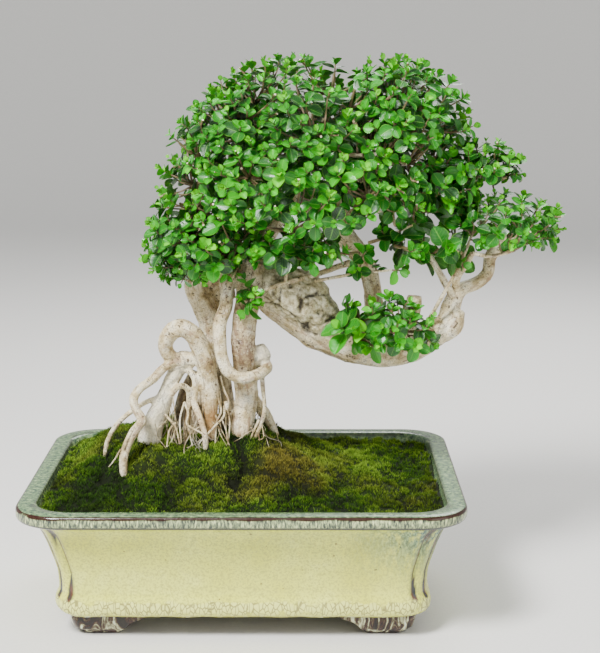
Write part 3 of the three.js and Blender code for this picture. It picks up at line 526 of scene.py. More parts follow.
# %% Soil and drain mesh
soil, tree, shader = new_material("damp_potting_soil", roughness=0.95)
where = add_node(tree, "ShaderNodeTexCoord").outputs["Object"]
mm = add_node(tree, "ShaderNodeVectorMath", {"operation": "SCALE"}, {0: where, "Scale": 1000.0})
crumbs = {"Vector": mm, "Scale": 1 / 2.5, "Detail": 4.0, "Roughness": 0.7}
crumbs = add_node(tree, "ShaderNodeTexNoise", {}, crumbs)
earth = add_node(tree, "ShaderNodeValToRGB", {}, {"Fac": crumbs}, [(0.35, "#17100a"), (0.6, "#3b2a1c")])
tree.links.new(earth.outputs[0], shader.inputs["Base Color"])
bump = add_node(tree, "ShaderNodeBump", {}, {"Strength": 0.8, "Distance": 0.002, "Height": crumbs})
tree.links.new(bump.outputs[0], shader.inputs["Normal"])

polythene, tree, shader = new_material("black_polythene_mesh", ior=1.5)
where = add_node(tree, "ShaderNodeTexCoord").outputs["Object"]
haze = add_node(tree, "ShaderNodeTexNoise", {}, {"Vector": where, "Scale": 900.0, "Detail": 2.0})
black = add_node(tree, "ShaderNodeValToRGB", {}, {"Fac": haze}, [(0.3, "#15171a"), (0.7, "#22262a")])
tree.links.new(black.outputs[0], shader.inputs["Base Color"])
matt = add_node(tree, "ShaderNodeValToRGB", {}, {"Fac": haze}, [(0.3, 0.42), (0.7, 0.6)])
tree.links.new(matt.outputs[0], shader.inputs["Roughness"])

for name, material in (("soil", soil), ("drain_screen_left", polythene), ("drain_screen_right", polythene)):
    carried = frame["nodes"][name]
    carried.data.materials.clear()
    carried.data.materials.append(material)
    print(name, "wears", material.name)

# %% [markdown]
# A bonsai on show stands on heaped ground. Its height is one formula: a broad mound under the trunk, a
# low swell to the right and a little waviness. The roots enter it and the moss lies on it, so it comes
# before both.

# %% Height of the ground
EDGE_LEVEL, MOUND_HEIGHT, MOSS_THICKNESS = 90.0, 36.0, 7.0


def ground(spots):
    """The same heaped ground as the solids have, at x and y in millimetres."""
    x, y = spots[:, 0], spots[:, 1]
    mound = np.exp(-(np.abs((x + 38) / 82) ** 4) - np.abs((y - 15) / 70) ** 2.6)
    swell = 5 * np.exp(-(((x - 88) / 42) ** 2) - ((y - 12) / 58) ** 2)
    tufts = 1.3 * np.sin(x / 13 + 1) * np.cos(y / 15) + 0.8 * np.sin((x + y) / 8)
    return EDGE_LEVEL + MOUND_HEIGHT * mound + swell + tufts


print("ground at the middle:", round(float(ground(np.zeros((1, 3)))[0]), 1), "mm")

# %% [markdown]
# The tree is drawn as routes, in the way a bonsai grower wires it: each stem, root and limb is a list
# of points along its middle with the radius there. The solids are made from the same routes, so the
# fine wood stays exactly where they are.

# %% Routes of stems, roots and limbs, as x, y, z and radius in millimetres
TRUNKS = {
    "left_trunk": [
        (-6, 10, 248, 9), (-22, 11, 241, 8.6), (-35, 10, 231, 8.8), (-31, 9, 217, 8.6),
        (-26, 8, 203, 8.2), (-25, 2, 186, 7), (-29, 0, 162, 6.4), (-33, -1, 138, 6.6),
        (-36, -2, 116, 6), (-40, -3, 96, 4),
    ],
    "looped_root": [
        (-43, -9, 178, 5.2), (-52, -12, 181, 5.2), (-56, -15, 191, 5.4), (-52, -17, 200, 6),
        (-45, -18, 204, 6.4), (-37, -16, 200, 6.8), (-32, -13, 190, 7.1), (-28, -11, 178, 7.2),
        (-26, -11, 164, 7.1), (-25, -12, 150, 6.6), (-25, -12, 136, 5.4), (-26, -12, 118, 4.6),
        (-27, -12, 98, 3.4),
    ],
    "pale_root": [
        (-43, -8, 180, 5.6), (-48, -10, 172, 5.6), (-54, -11, 160, 5.8), (-59, -12, 147, 6.6),
        (-65, -13, 134, 8), (-69, -14, 120, 8.6), (-73, -15, 98, 6),
    ],
    "wrapping_stem": [
        (-6, -6, 248, 5), (-12, -14, 230, 4.9), (-13, -18, 219, 4.9), (-17, -20, 208, 4.9),
        (-17, -21, 196, 4.7), (-16, -22, 185, 4.6), (-12, -24, 175, 4.6), (-5, -25, 170, 4.4),
        (4, -25, 170, 4.2), (12, -19, 172, 4), (16, -10, 174, 3.9), (13, -2, 176, 3.6),
    ],
    "right_trunk": [
        (6, 0, 246, 9.6), (3, -6, 234, 9), (2, -10, 221, 8.6), (0, -12, 206, 8.6),
        (-1, -12, 193, 8.9), (0, -8, 178, 9), (0, -2, 164, 9.1), (1, 0, 150, 8.7), (-1, 0, 137, 8),
        (-3, 0, 123, 7.4), (-5, 1, 98, 5),
    ],
    "hidden_stem": [
        (-14, 14, 246, 5), (-22, 17, 229, 4.4), (-19, 17, 219, 4.3), (-20, 15, 205, 4),
        (-24, 11, 192, 3.8),
    ],
    "trunk": [
        (-8, 4, 250, 9), (4, 6, 241, 13), (20, 8, 226, 17.4), (37, 8, 213, 18), (52, 6, 199, 15.6),
        (67, 4, 189, 12), (86, 2, 183, 10.4), (104, 0, 182, 10), (118, 0, 186, 10.6),
        (132, 0, 194, 10), (144, 2, 203, 8.6), (148, 5, 217, 6.8), (155, 9, 227, 5.2),
        (166, 12, 231, 4.9), (174, 14, 238, 4.7), (176, 16, 249, 4.7), (184, 18, 258, 4.3),
        (196, 19, 268, 3),
    ],
    "rising_branch": [
        (88, 6, 184, 8), (92, 10, 197, 7.4), (93, 12, 210, 6.9), (92, 13, 222, 6.8),
        (89, 14, 237, 6.8), (83, 14, 250, 7.2), (74, 14, 261, 8), (67, 13, 270, 8.4),
        (66, 13, 280, 6), (72, 15, 292, 4.6), (82, 18, 306, 3.8), (90, 20, 326, 3),
    ],
}
ROOTS = {
    "crooked_root": [
        (-44, -10, 178, 4), (-51, -14, 178, 3.4), (-58, -17, 174, 3.2), (-65, -20, 167, 3.2),
        (-74, -24, 161, 3.2), (-78, -27, 154, 3.2), (-76, -29, 147, 3.1), (-72, -31, 140, 3.3),
        (-76, -34, 134, 3.6), (-81, -38, 126, 3.4), (-84, -41, 116, 3.2), (-84, -44, 106, 3),
        (-83, -46, 94, 2.2),
    ],
    "side_root": [
        (-59, -11, 153, 2.2), (-71, -14, 149, 1.9), (-82, -16, 142, 1.8), (-91, -18, 134, 1.8),
        (-98, -19, 122, 1.7), (-101, -20, 106, 1.3),
    ],
    "inner_root": [
        (-44, -10, 174, 2.6), (-37, -14, 169, 2.3), (-35, -16, 161, 2.3), (-36, -17, 150, 2.5),
        (-32, -23, 141, 2.3), (-28, -26, 128, 2.1), (-28, -27, 108, 1.6),
    ],
    "small_arch": [
        (-55, -12, 148, 2), (-51, -17, 157, 2.3), (-46, -18, 162, 2.3), (-41, -17, 160, 2.2),
        (-40, -15, 148, 2), (-42, -14, 130, 2), (-43, -14, 108, 1.6),
    ],
    "hanging_root": [
        (12, -17, 172, 2), (13, -16, 158, 1.6), (14, -16, 144, 1.5), (11, -15, 132, 1.5),
        (5, -14, 118, 1.5), (3, -13, 104, 1.2),
    ],
    "back_root": [
        (-30, 6, 160, 4.4), (-38, 16, 148, 4.2), (-46, 26, 134, 4), (-52, 34, 116, 3.6),
        (-58, 40, 98, 2.4),
    ],
    "right_back_root": [
        (2, 2, 152, 5), (9, 12, 140, 4.6), (16, 20, 127, 4.2), (22, 27, 108, 3.4),
        (26, 31, 96, 2.4),
    ],
}
LIMBS = {
    "crown_left": [
        (2, 4, 240, 6), (-8, 4, 256, 6), (-18, 2, 268, 5), (-28, 0, 282, 3.8), (-34, -2, 298, 2.6),
    ],
    "crown_left_back": [(-4, 8, 250, 4.6), (-8, 22, 262, 4.2), (-12, 36, 280, 3.6), (-10, 46, 300, 2.6)],
    "crown_middle": [
        (4, 5, 242, 7), (12, 8, 259, 6.8), (25, 14, 280, 5.4), (37, 18, 300, 4.2),
        (46, 22, 320, 3), (52, 24, 338, 2.2),
    ],
    "crown_front": [(25, 14, 280, 3.6), (16, 4, 292, 3.4), (10, -8, 306, 3.2), (6, -16, 322, 2.4)],
    "crown_centre": [
        (67, 13, 274, 5), (54, 11, 280, 4.3), (43, 6, 285, 3.4), (33, -4, 288, 2.7),
        (26, -14, 290, 2.2),
    ],
    "crown_right_back": [(69, 14, 285, 3.4), (72, 28, 298, 3.2), (72, 44, 308, 2.8), (66, 54, 320, 2.2)],
    "crown_right_front": [(73, 15, 293, 3.2), (82, 4, 304, 3), (92, -10, 314, 2.8), (98, -22, 326, 2.2)],
    "right_arm": [
        (67, 13, 271, 6), (76, 16, 278, 5.4), (86, 20, 283, 4.4), (101, 23, 285, 3.8),
        (118, 24, 288, 3.2), (134, 23, 294, 2.8), (152, 20, 300, 2.4), (168, 17, 306, 2),
    ],
    "pad_front": [(152, 8, 224, 3.2), (150, -2, 236, 2.8), (156, -10, 248, 2.4), (160, -12, 256, 2)],
    "pad_left": [(150, 6, 220, 3.2), (143, -4, 232, 2.6), (136, -6, 244, 2.3), (130, -8, 254, 2)],
    "pad_back": [(176, 16, 250, 3.4), (178, 26, 258, 2.8), (174, 34, 264, 2.2)],
    "low_left": [(90, 2, 186, 3.2), (86, -12, 192, 2.4), (82, -20, 196, 2)],
    "low_right": [(118, -2, 190, 3), (114, -14, 197, 2.4), (110, -20, 202, 2)],
    "sprig_stem": [
        (84, 13, 248, 3), (66, 4, 244, 2.2), (47, -8, 239, 1.9), (29, -17, 236, 1.6),
        (14, -21, 231, 1.4),
    ],
}
CUT_STUBS = {
    "round_scar_stub": [(116, -2, 190, 7), (117, -6, 204, 5.9), (119, -9, 216, 5.8), (120, -10, 225, 5.4)],
    "short_stub": [(-12, 2, 222, 5), (-13, -2, 230, 5.6), (-13, -6, 237, 5)],
}
SWELLINGS = {
    "bulb": [(9, -5, 174, 4), (11, -6, 181, 7.6), (9, -6, 189, 5)],
    "root_knot": [(-36, -9, 178, 5), (-44, -10, 179, 7), (-51, -10, 174, 4)],
    "front_block": [
        (8, 6, 240, 8), (24, -2, 231, 13), (42, -5, 221, 14.5), (56, -2, 208, 12), (66, 2, 196, 8),
    ],
    "back_block": [(14, 16, 232, 9), (32, 19, 218, 11), (50, 14, 203, 10)],
    "bend": [(136, 0, 194, 8), (147, 0, 203, 9.4), (151, 4, 213, 7)],
}
print("routes:", len(TRUNKS) + len(ROOTS) + len(LIMBS) + len(CUT_STUBS) + len(SWELLINGS))

# %% [markdown]
# A smooth curve through the points of a route gives its stations. Each station has a place, a way
# forward, a radius and how far along the route it lies. Rings of points round the stations make tubes
# with closed ends.

# %% Curves and tubes
def unit(vectors):
    """Vectors scaled to a length of one."""
    vectors = np.asarray(vectors, dtype=float)
    return vectors / np.linalg.norm(vectors, axis=-1, keepdims=True)


def stations_of(route, per_span):
    """Places, ways, radii and running lengths along a smooth curve through a route."""
    knots = np.asarray(route, dtype=float)
    before, beyond = 2 * knots[0, :3] - knots[1, :3], 2 * knots[-1, :3] - knots[-2, :3]
    spots = np.concatenate([[before], knots[:, :3], [beyond]])
    gaps = np.sqrt(np.linalg.norm(np.diff(spots, axis=0), axis=1))[:, None]
    places, radii = [], []
    for span in range(len(knots) - 1):
        p0, p1, p2, p3 = spots[span : span + 4]
        d0, d1, d2 = gaps[span : span + 3]
        out = ((p1 - p0) / d0 - (p2 - p0) / (d0 + d1) + (p2 - p1) / d1) * d1
        back = ((p2 - p1) / d1 - (p3 - p1) / (d1 + d2) + (p3 - p2) / d2) * d1
        last = span == len(knots) - 2
        t = np.linspace(0, 1, per_span + 1)[: None if last else -1][:, None]
        places.append((2 * t**3 - 3 * t**2 + 1) * p1 + (t**3 - 2 * t**2 + t) * out)
        places[-1] += (3 * t**2 - 2 * t**3) * p2 + (t**3 - t**2) * back
        radii.append(knots[span, 3] + (knots[span + 1, 3] - knots[span, 3]) * t[:, 0])
    places, radii = np.concatenate(places), np.concatenate(radii)
    ways = unit(np.gradient(places, axis=0))
    run = np.concatenate([[0], np.cumsum(np.linalg.norm(np.diff(places, axis=0), axis=1))])
    return places, ways, radii, run


def side_vectors(ways):
    """Two vectors square to each way that turn as little as possible along the route."""
    side = np.cross(ways[0], [0.2, 0.95, 0.25])
    sides = []
    for way in ways:
        side = unit(side - way * (side @ way))
        sides.append(side)
    sides = np.array(sides)
    return sides, np.cross(ways, sides)


def tube(route, per_span, sides, seed=None, rough=0.0):
    """Points and faces of a closed tube along a route, with its rings pushed in and out by noise."""
    places, ways, radii, run = stations_of(route, per_span)
    first, second = side_vectors(ways)
    turn = np.linspace(0, 2 * math.pi, sides, endpoint=False)
    ring = np.cos(turn)[None, :, None] * first[:, None] + np.sin(turn)[None, :, None] * second[:, None]
    points = places[:, None] + ring * radii[:, None, None]
    if rough:
        push = layered_noise(points.reshape(-1, 3), 5.0, seed, 2).reshape(len(places), sides)
        points += ring * ((push - 0.5) * 2 * rough * radii[:, None])[:, :, None]
    grain = np.empty((len(places), sides, 3))
    grain[:, :, 0] = np.cos(turn) * radii[:, None]
    grain[:, :, 1] = np.sin(turn) * radii[:, None]
    grain[:, :, 2] = run[:, None]
    grain = grain.reshape(-1, 3)
    points = np.concatenate([points.reshape(-1, 3), places[[0, -1]]])
    grain = np.concatenate([grain, [[0, 0, run[0]], [0, 0, run[-1]]]])
    row = np.arange(sides)
    following = (row + 1) % sides
    start = np.arange(len(places) - 1)[:, None] * sides
    quads = np.stack([start + row, start + following, start + sides + following, start + sides + row], axis=2)
    final = (len(places) - 1) * sides
    caps = [np.column_stack([following, row, np.full(sides, final + sides)])]
    caps.append(np.column_stack([final + row, final + following, np.full(sides, final + sides + 1)]))
    return points, quads.reshape(-1, 4), np.concatenate(caps), grain


def joined(parts):
    """Several tubes as one set of points, quads, triangles and grain places."""
    points, quads, triangles, grain, count = [], [], [], [], 0
    for index, (spots, fours, threes, lie) in enumerate(parts):
        points.append(spots)
        quads.append(fours + count)
        triangles.append(threes + count)
        grain.append(lie + [0, 0, 31.7 * index])
        count += len(spots)
    return np.concatenate(points), np.concatenate(quads), np.concatenate(triangles), np.concatenate(grain)


print("trunk stations:", len(stations_of(TRUNKS["trunk"], 6)[0]))

# %% [markdown]
# Trunk, roots and stubs have grown into each other, with no seams. Overlapping tubes are merged by a
# voxel remesh, as clay coils are smoothed into one body. Then numpy moves each point along its
# normal: slow lumps, ridges that run with the wood, and deep crags on the old block at the top. A
# few extra coils shape what the eye meets close up: the block's shoulder, the rounded trunk foot and
# two shaded roots that close the hollow between the trunks.

# %% Extra coils for the old wood
SHAPING = {
    "block_shoulder": [(24, 0, 236, 8), (38, -3, 233, 9.5), (49, -4, 228, 8.5), (55, -3, 219, 7)],
    "block_step": [(52, -4, 212, 8), (60, -4, 204, 7.5), (67, -3, 197, 6)],
    "shaded_root": [(-20, 2, 176, 4), (-16, 5, 160, 5.5), (-14, 6, 140, 6), (-14, 6, 115, 6)],
    "shaded_root_left": [(-36, 2, 168, 4.5), (-44, 3, 150, 5.5), (-47, 4, 132, 6), (-48, 5, 112, 6)],
    "rounded_foot": [(-2, -2, 138, 8.2), (-3, -5, 130, 8.4), (-3.5, -8, 123, 6.6), (-4, -9, 119, 3)],
}
old_wood = {**TRUNKS, **ROOTS, **CUT_STUBS, **SWELLINGS, **SHAPING}
print("coils of old wood:", len(old_wood))

# %% Coils merged into one skin
VOXEL = 1.04
coils = [tube(route, 8, 20) for route in old_wood.values()]
points, quads, caps, _ = joined(coils)
fused = add_piece("bare_trunk_and_roots", points, [quads, caps], [])
remesh = fused.modifiers.new("merge", "REMESH")
remesh.mode = "VOXEL"
remesh.voxel_size = VOXEL / 1000
settled = fused.evaluated_get(bpy.context.evaluated_depsgraph_get())
merged = bpy.data.meshes.new_from_object(settled)
bpy.data.objects.remove(fused)
skin = points_of(merged)
normals = np.zeros(len(merged.vertices) * 3)
merged.vertices.foreach_get("normal", normals)
normals = normals.reshape(-1, 3)
skin_faces = np.zeros(len(merged.loops), dtype=np.int32)
merged.loops.foreach_get("vertex_index", skin_faces)
skin_faces = skin_faces.reshape(-1, 4)
print("wood points:", len(skin), "faces:", len(skin_faces))

# %% The coil that each point of the skin belongs to
RUN_STEP = 90
axis = {"place": [], "first": [], "second": [], "radius": [], "run": []}
for index, route in enumerate(old_wood.values()):
    places, ways, radii, run = stations_of(route, 12)
    first, second = side_vectors(ways)
    for key, values in zip(axis, (places, first, second, radii, run + RUN_STEP * index)):
        axis[key].append(values)
axis = {key: np.concatenate(values) for key, values in axis.items()}
finder = KDTree(len(axis["place"]))
for index, place in enumerate(axis["place"]):
    finder.insert(place, index)
finder.balance()
nearest = np.zeros(len(skin), dtype=int)
for index, spot in enumerate(skin):
    found = finder.find_n(spot, 4)
    depths = [away - axis["radius"][station] for _, station, away in found]
    nearest[index] = found[int(np.argmin(depths))][1]
arm = skin - axis["place"][nearest]
girth = axis["radius"][nearest]
sideways = [(arm * axis[key][nearest]).sum(axis=1) for key in ("first", "second")]
lie = np.column_stack([*sideways, axis["run"][nearest]])
print("stations in the old wood:", len(axis["place"]))

# %% Marks along a route
def along_route(points, route, reach):
    """How near points lie to a route: 1 on it, 0 beyond its radius and the reach."""
    places, _, radii, _ = stations_of(route, 6)
    away = np.full(len(points), 1e9)
    for place, radius in zip(places, radii):
        away = np.minimum(away, np.linalg.norm(points - place, axis=1) - radius)
    return np.clip(1 - away / reach, 0, 1)


print("points near the pale root:", int((along_route(skin, TRUNKS["pale_root"], 2.0) > 0).sum()))

# %% Cracks of the old block, drawn in x and z
CRACKS = {
    "hollow": [(15, 220), (25, 219), (34, 214), (39, 208), (43, 200), (51, 198)],
    "below": [(36, 191), (41, 188), (48, 187)],
    "shoulder": [(26, 231), (25, 222)],
    "knob": [(39, 215), (41, 224), (50, 228)],
}
FRONT, SLIT_DEPTH, SPLIT_DEPTH, CRACK_DEPTH = -3, 1.3, 0.8, 1.8


def near_cracks(points):
    """How near points on the front lie to the cracks, drawn in x and z: 1 on one, 0 beyond its width."""
    lines = [stations_of([(x, 0, z, 1) for x, z in line], 6)[0] for line in CRACKS.values()]
    places = np.concatenate(lines)
    away = np.linalg.norm(points[:, None, ::2] - places[None, :, ::2], axis=2).min(axis=1)
    width = 0.4 + 2.6 * layered_noise(points, 7.0, 91, 2)
    return np.clip(1 - away / width, 0, 1) * (points[:, 1] < FRONT)


cracks = near_cracks(skin)
print("points in a crack:", int((cracks > 0).sum()))

# %% Bark relief
block = along_route(skin, SWELLINGS["front_block"], 5.0)
for name, route in (*SWELLINGS.items(), *SHAPING.items()):
    if "block" in name:
        block = np.maximum(block, along_route(skin, route, 4.0))
block *= np.clip((skin[:, 2] - 182) / 16, 0, 1) * np.clip((78 - skin[:, 0]) / 14, 0, 1)
lumps = layered_noise(skin, 9.0, 31, 2) - 0.5
ridges = np.abs(layered_noise(lie * [1, 1, 0.16], 3.2, 41, 2) - 0.5) * 2
folds = np.abs(layered_noise(skin, 17.0, 51, 2) - 0.5) * 2
crags = np.abs(layered_noise(skin, 6.0, 55, 3) - 0.5) * 2
pits = np.clip((layered_noise(skin, 6.5, 61, 2) - 0.64) / 0.1, 0, 1)
rings = np.clip((layered_noise(lie * [0.25, 0.25, 1], 2.4, 71, 1) - 0.62) / 0.2, 0, 1)
push = lumps * np.clip(girth * 0.2, 0.35, 1.9) - (0.5 - ridges) * np.clip(girth * 0.09, 0.12, 0.8)
push += 0.16 * rings
swell = 5.0 * (0.28 - np.abs(0.28 - folds))
push = push * (1 - 0.4 * block) + block * (swell + 2.4 * (0.4 - crags) - 2.2 * pits)
slit = along_route(skin, [(-75, -35, 142, 0.5), (-79, -39, 133, 0.5), (-83, -43, 122, 0.5)], 1.1)
trunk_crack = along_route(skin, [(3, -21, 222, 0.3), (-2, -21, 212, 0.3), (1, -22, 203, 0.3)], 0.9)
carved = push - SLIT_DEPTH * slit - SPLIT_DEPTH * trunk_crack - CRACK_DEPTH * cracks
wood_skin = skin + normals * carved[:, None]
print("bark relief:", round(float(push.min()), 2), "to", round(float(push.max()), 2), "mm")

# %% Bark marks: block, pale roots, warm foot, and painted shade in hollows, cracks and near the ground
pale = along_route(skin, TRUNKS["pale_root"], 2.0) * 0.7 + along_route(skin, SWELLINGS["bulb"], 2.0) * 0.8
warm = peak(np.linalg.norm(skin - [-26, -16, 134], axis=1), 0, 16)
brown = peak(skin[:, 2], 190, 22) * along_route(skin, TRUNKS["right_trunk"], 3.0)
# Painted shade: bark within 7 mm of the ground is darkened as contact shade.
ground_contact_shade = np.clip(1 - (skin[:, 2] - ground(skin)) / 7, 0, 1)
# Painted shade: pits, creases and cracks on the block, the carved slits and the grooves between ridges are
# darkened as shade in recesses.
creases = 0.8 * np.clip(0.14 - folds, 0, 1) / 0.14 + 0.55 * np.clip(0.12 - crags, 0, 1) / 0.12
shade_depth = np.clip(block * (0.5 * pits + 0.7 * creases) + slit + trunk_crack + cracks, 0, 1)
# Painted shade: the two shaded roots are darkened towards the back, as the shade of the hollow between the
# trunks.
shaded = along_route(skin, SHAPING["shaded_root"], 2)
shaded = np.maximum(shaded, along_route(skin, SHAPING["shaded_root_left"], 2))
shade_depth = shade_depth + 0.7 * shaded * np.clip((skin[:, 1] + 8) / 5, 0, 1)
shade_depth = np.clip(shade_depth + (0.3 - ridges) * 0.5 + 0.45 * ground_contact_shade, 0, 1)
marks = {
    "grain": lie,
    "bark": np.column_stack([np.clip(block, 0, 1), np.clip(pale, 0, 1), warm]),
    "dark": np.column_stack([shade_depth, rings, brown]),
}
print("dark share of the skin:", round(float(np.mean(shade_depth > 0.5)), 3))

# %% [markdown]
# Premna bark is thin and pale: a cream and beige skin that flakes to show pinkish brown beneath, with
# small dark lenticels and fine lengthwise cracks. Patterns follow the grain mark, which runs along each
# stem, so cracks run with the wood. The old block is greyer. Its holes, carved cracks and creases, and
# the wood just above the ground, are darkened as painted shade.

# %% Bark skin and flakes
bark, tree, shader = new_material("flaking_premna_bark", roughness=0.72)
grain = add_node(tree, "ShaderNodeAttribute", {"attribute_name": "grain"}).outputs["Vector"]
zones = add_node(tree, "ShaderNodeAttribute", {"attribute_name": "bark"})
zones = add_node(tree, "ShaderNodeSeparateColor", {}, {0: zones}).outputs
darks = add_node(tree, "ShaderNodeAttribute", {"attribute_name": "dark"})
darks = add_node(tree, "ShaderNodeSeparateColor", {}, {0: darks}).outputs
where = add_node(tree, "ShaderNodeTexCoord").outputs["Object"]
mm = add_node(tree, "ShaderNodeVectorMath", {"operation": "SCALE"}, {0: where, "Scale": 1000.0})
along = add_node(tree, "ShaderNodeVectorMath", {"operation": "MULTIPLY"}, {0: grain, 1: (1.0, 1.0, 0.28)})
around = add_node(tree, "ShaderNodeVectorMath", {"operation": "MULTIPLY"}, {0: grain, 1: (0.5, 0.5, 1.6)})

broad = {"Vector": mm, "Scale": 1 / 12, "Detail": 5.0, "Roughness": 0.65}
broad = add_node(tree, "ShaderNodeTexNoise", {}, broad)
skin_colour = [(0.33, "#8f7a50"), (0.43, "#cab788"), (0.53, "#ecdfb8"), (0.7, "#fbf6e2")]
colour = add_node(tree, "ShaderNodeValToRGB", {}, {"Fac": broad}, skin_colour)
flake = {"Vector": along, "Scale": 1 / 4.0, "Detail": 5.0, "Roughness": 0.7}
flake = add_node(tree, "ShaderNodeTexNoise", {}, flake)
flake = add_node(tree, "ShaderNodeValToRGB", {}, {"Fac": flake}, [(0.53, 0.0), (0.6, 0.62)])
colour = add_node(tree, "ShaderNodeMix", COLOUR_MIX, {0: flake, 6: colour, 7: linear("#8c6850")})
brown = {"Vector": mm, "Scale": 1 / 2.4, "Detail": 4.0, "Roughness": 0.75}
brown = add_node(tree, "ShaderNodeTexNoise", {}, brown)
brown_share = add_node(tree, "ShaderNodeValToRGB", {}, {"Fac": brown}, [(0.42, 0.25), (0.6, 1.0)])
brown_share = add_node(tree, "ShaderNodeMath", {"operation": "MULTIPLY"}, {0: darks["Blue"], 1: brown_share})
colour = add_node(tree, "ShaderNodeMix", COLOUR_MIX, {0: brown_share, 6: colour, 7: linear("#7d6250")})
print("bark skin nodes:", len(tree.nodes))

# %% Lichen, grit, lenticels and cracks in the bark
lichen = {"Vector": mm, "Scale": 1 / 5.5, "Detail": 4.0, "Roughness": 0.65}
lichen = add_node(tree, "ShaderNodeTexNoise", {}, lichen)
lichen = add_node(tree, "ShaderNodeValToRGB", {}, {"Fac": lichen}, [(0.6, 0.0), (0.7, 0.5)])
colour = add_node(tree, "ShaderNodeMix", COLOUR_MIX, {0: lichen, 6: colour, 7: linear("#efeada")})
grit = {"Vector": mm, "Scale": 1 / 1.1, "Detail": 3.0, "Roughness": 0.75}
grit = add_node(tree, "ShaderNodeTexNoise", {}, grit)
grit_share = add_node(tree, "ShaderNodeValToRGB", {}, {"Fac": grit}, [(0.36, 0.6), (0.48, 0.0)])
colour = add_node(tree, "ShaderNodeMix", COLOUR_MIX, {0: grit_share, 6: colour, 7: linear("#7b6a52")})
lenticel = {"Vector": around, "Scale": 1 / 1.7, "Detail": 2.0, "Roughness": 0.6}
lenticel = add_node(tree, "ShaderNodeTexNoise", {}, lenticel)
lenticel = add_node(tree, "ShaderNodeValToRGB", {}, {"Fac": lenticel}, [(0.62, 0.0), (0.67, 0.9)])
colour = add_node(tree, "ShaderNodeMix", COLOUR_MIX, {0: lenticel, 6: colour, 7: linear("#3f3226")})
crack = {"Vector": along, "Scale": 1 / 2.1, "Detail": 4.0, "Roughness": 0.65}
crack = add_node(tree, "ShaderNodeTexNoise", {}, crack)
crack_share = add_node(tree, "ShaderNodeValToRGB", {}, {"Fac": crack}, [(0.31, 0.9), (0.39, 0.0)])
colour = add_node(tree, "ShaderNodeMix", COLOUR_MIX, {0: crack_share, 6: colour, 7: linear("#54432f")})
print("bark nodes:", len(tree.nodes))

# %% Bark colours by zone, and its relief
rough_grey = {"Vector": mm, "Scale": 1 / 4.2, "Detail": 5.0, "Roughness": 0.72}
rough_grey = add_node(tree, "ShaderNodeTexNoise", {}, rough_grey)
grey_stops = [(0.36, "#5d5638"), (0.44, "#a0966e"), (0.53, "#d0c8a0"), (0.66, "#f3edd2")]
block_colour = add_node(tree, "ShaderNodeValToRGB", {}, {"Fac": rough_grey}, grey_stops)
block_share = add_node(tree, "ShaderNodeMath", {"operation": "MULTIPLY"}, {0: zones["Red"], 1: 0.8})
colour = add_node(tree, "ShaderNodeMix", COLOUR_MIX, {0: block_share, 6: colour, 7: block_colour})
pale_share = add_node(tree, "ShaderNodeMath", {"operation": "MULTIPLY"}, {0: zones["Green"], 1: 0.55})
colour = add_node(tree, "ShaderNodeMix", COLOUR_MIX, {0: pale_share, 6: colour, 7: linear("#dfe0cf")})
warm_share = add_node(tree, "ShaderNodeMath", {"operation": "MULTIPLY"}, {0: zones["Blue"], 1: 0.5})
colour = add_node(tree, "ShaderNodeMix", COLOUR_MIX, {0: warm_share, 6: colour, 7: linear("#c08a45")})
# Painted shade: the dark mark turns hollows, cracks, the shaded roots and the wood near the ground almost
# black; on the fine roots it carries their soil stain.
hollow = add_node(tree, "ShaderNodeValToRGB", {}, {"Fac": darks["Red"]}, [(0.3, 0.0), (1.0, 0.95)])
colour = add_node(tree, "ShaderNodeMix", COLOUR_MIX, {0: hollow, 6: colour, 7: linear("#1f160d")})
tree.links.new(colour.outputs[2], shader.inputs["Base Color"])
relief = add_node(tree, "ShaderNodeMath", {"operation": "MULTIPLY_ADD"}, {0: grit, 1: 0.45, 2: crack})
relief = add_node(tree, "ShaderNodeMath", {"operation": "MULTIPLY_ADD"}, {0: lenticel, 1: -0.3, 2: relief})
bump = add_node(tree, "ShaderNodeBump", {}, {"Strength": 0.95, "Distance": 0.0012, "Height": relief})
tree.links.new(bump.outputs[0], shader.inputs["Normal"])
print("all bark nodes:", len(tree.nodes))

# %% The old wood in its place
trunk_piece = add_piece("bare_trunk_and_roots", wood_skin, [skin_faces], [bark], marks=marks)
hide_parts("tree_wood")
print("trunk faces:", len(trunk_piece.data.polygons))

# %% [markdown]
# Between the big roots hang many fine ones, thin as string, some pale and some stained by the soil. The
# larger of them are listed one by one where they cross the others; the hair roots are drawn at random
# from the underside of the arches down into the moss.

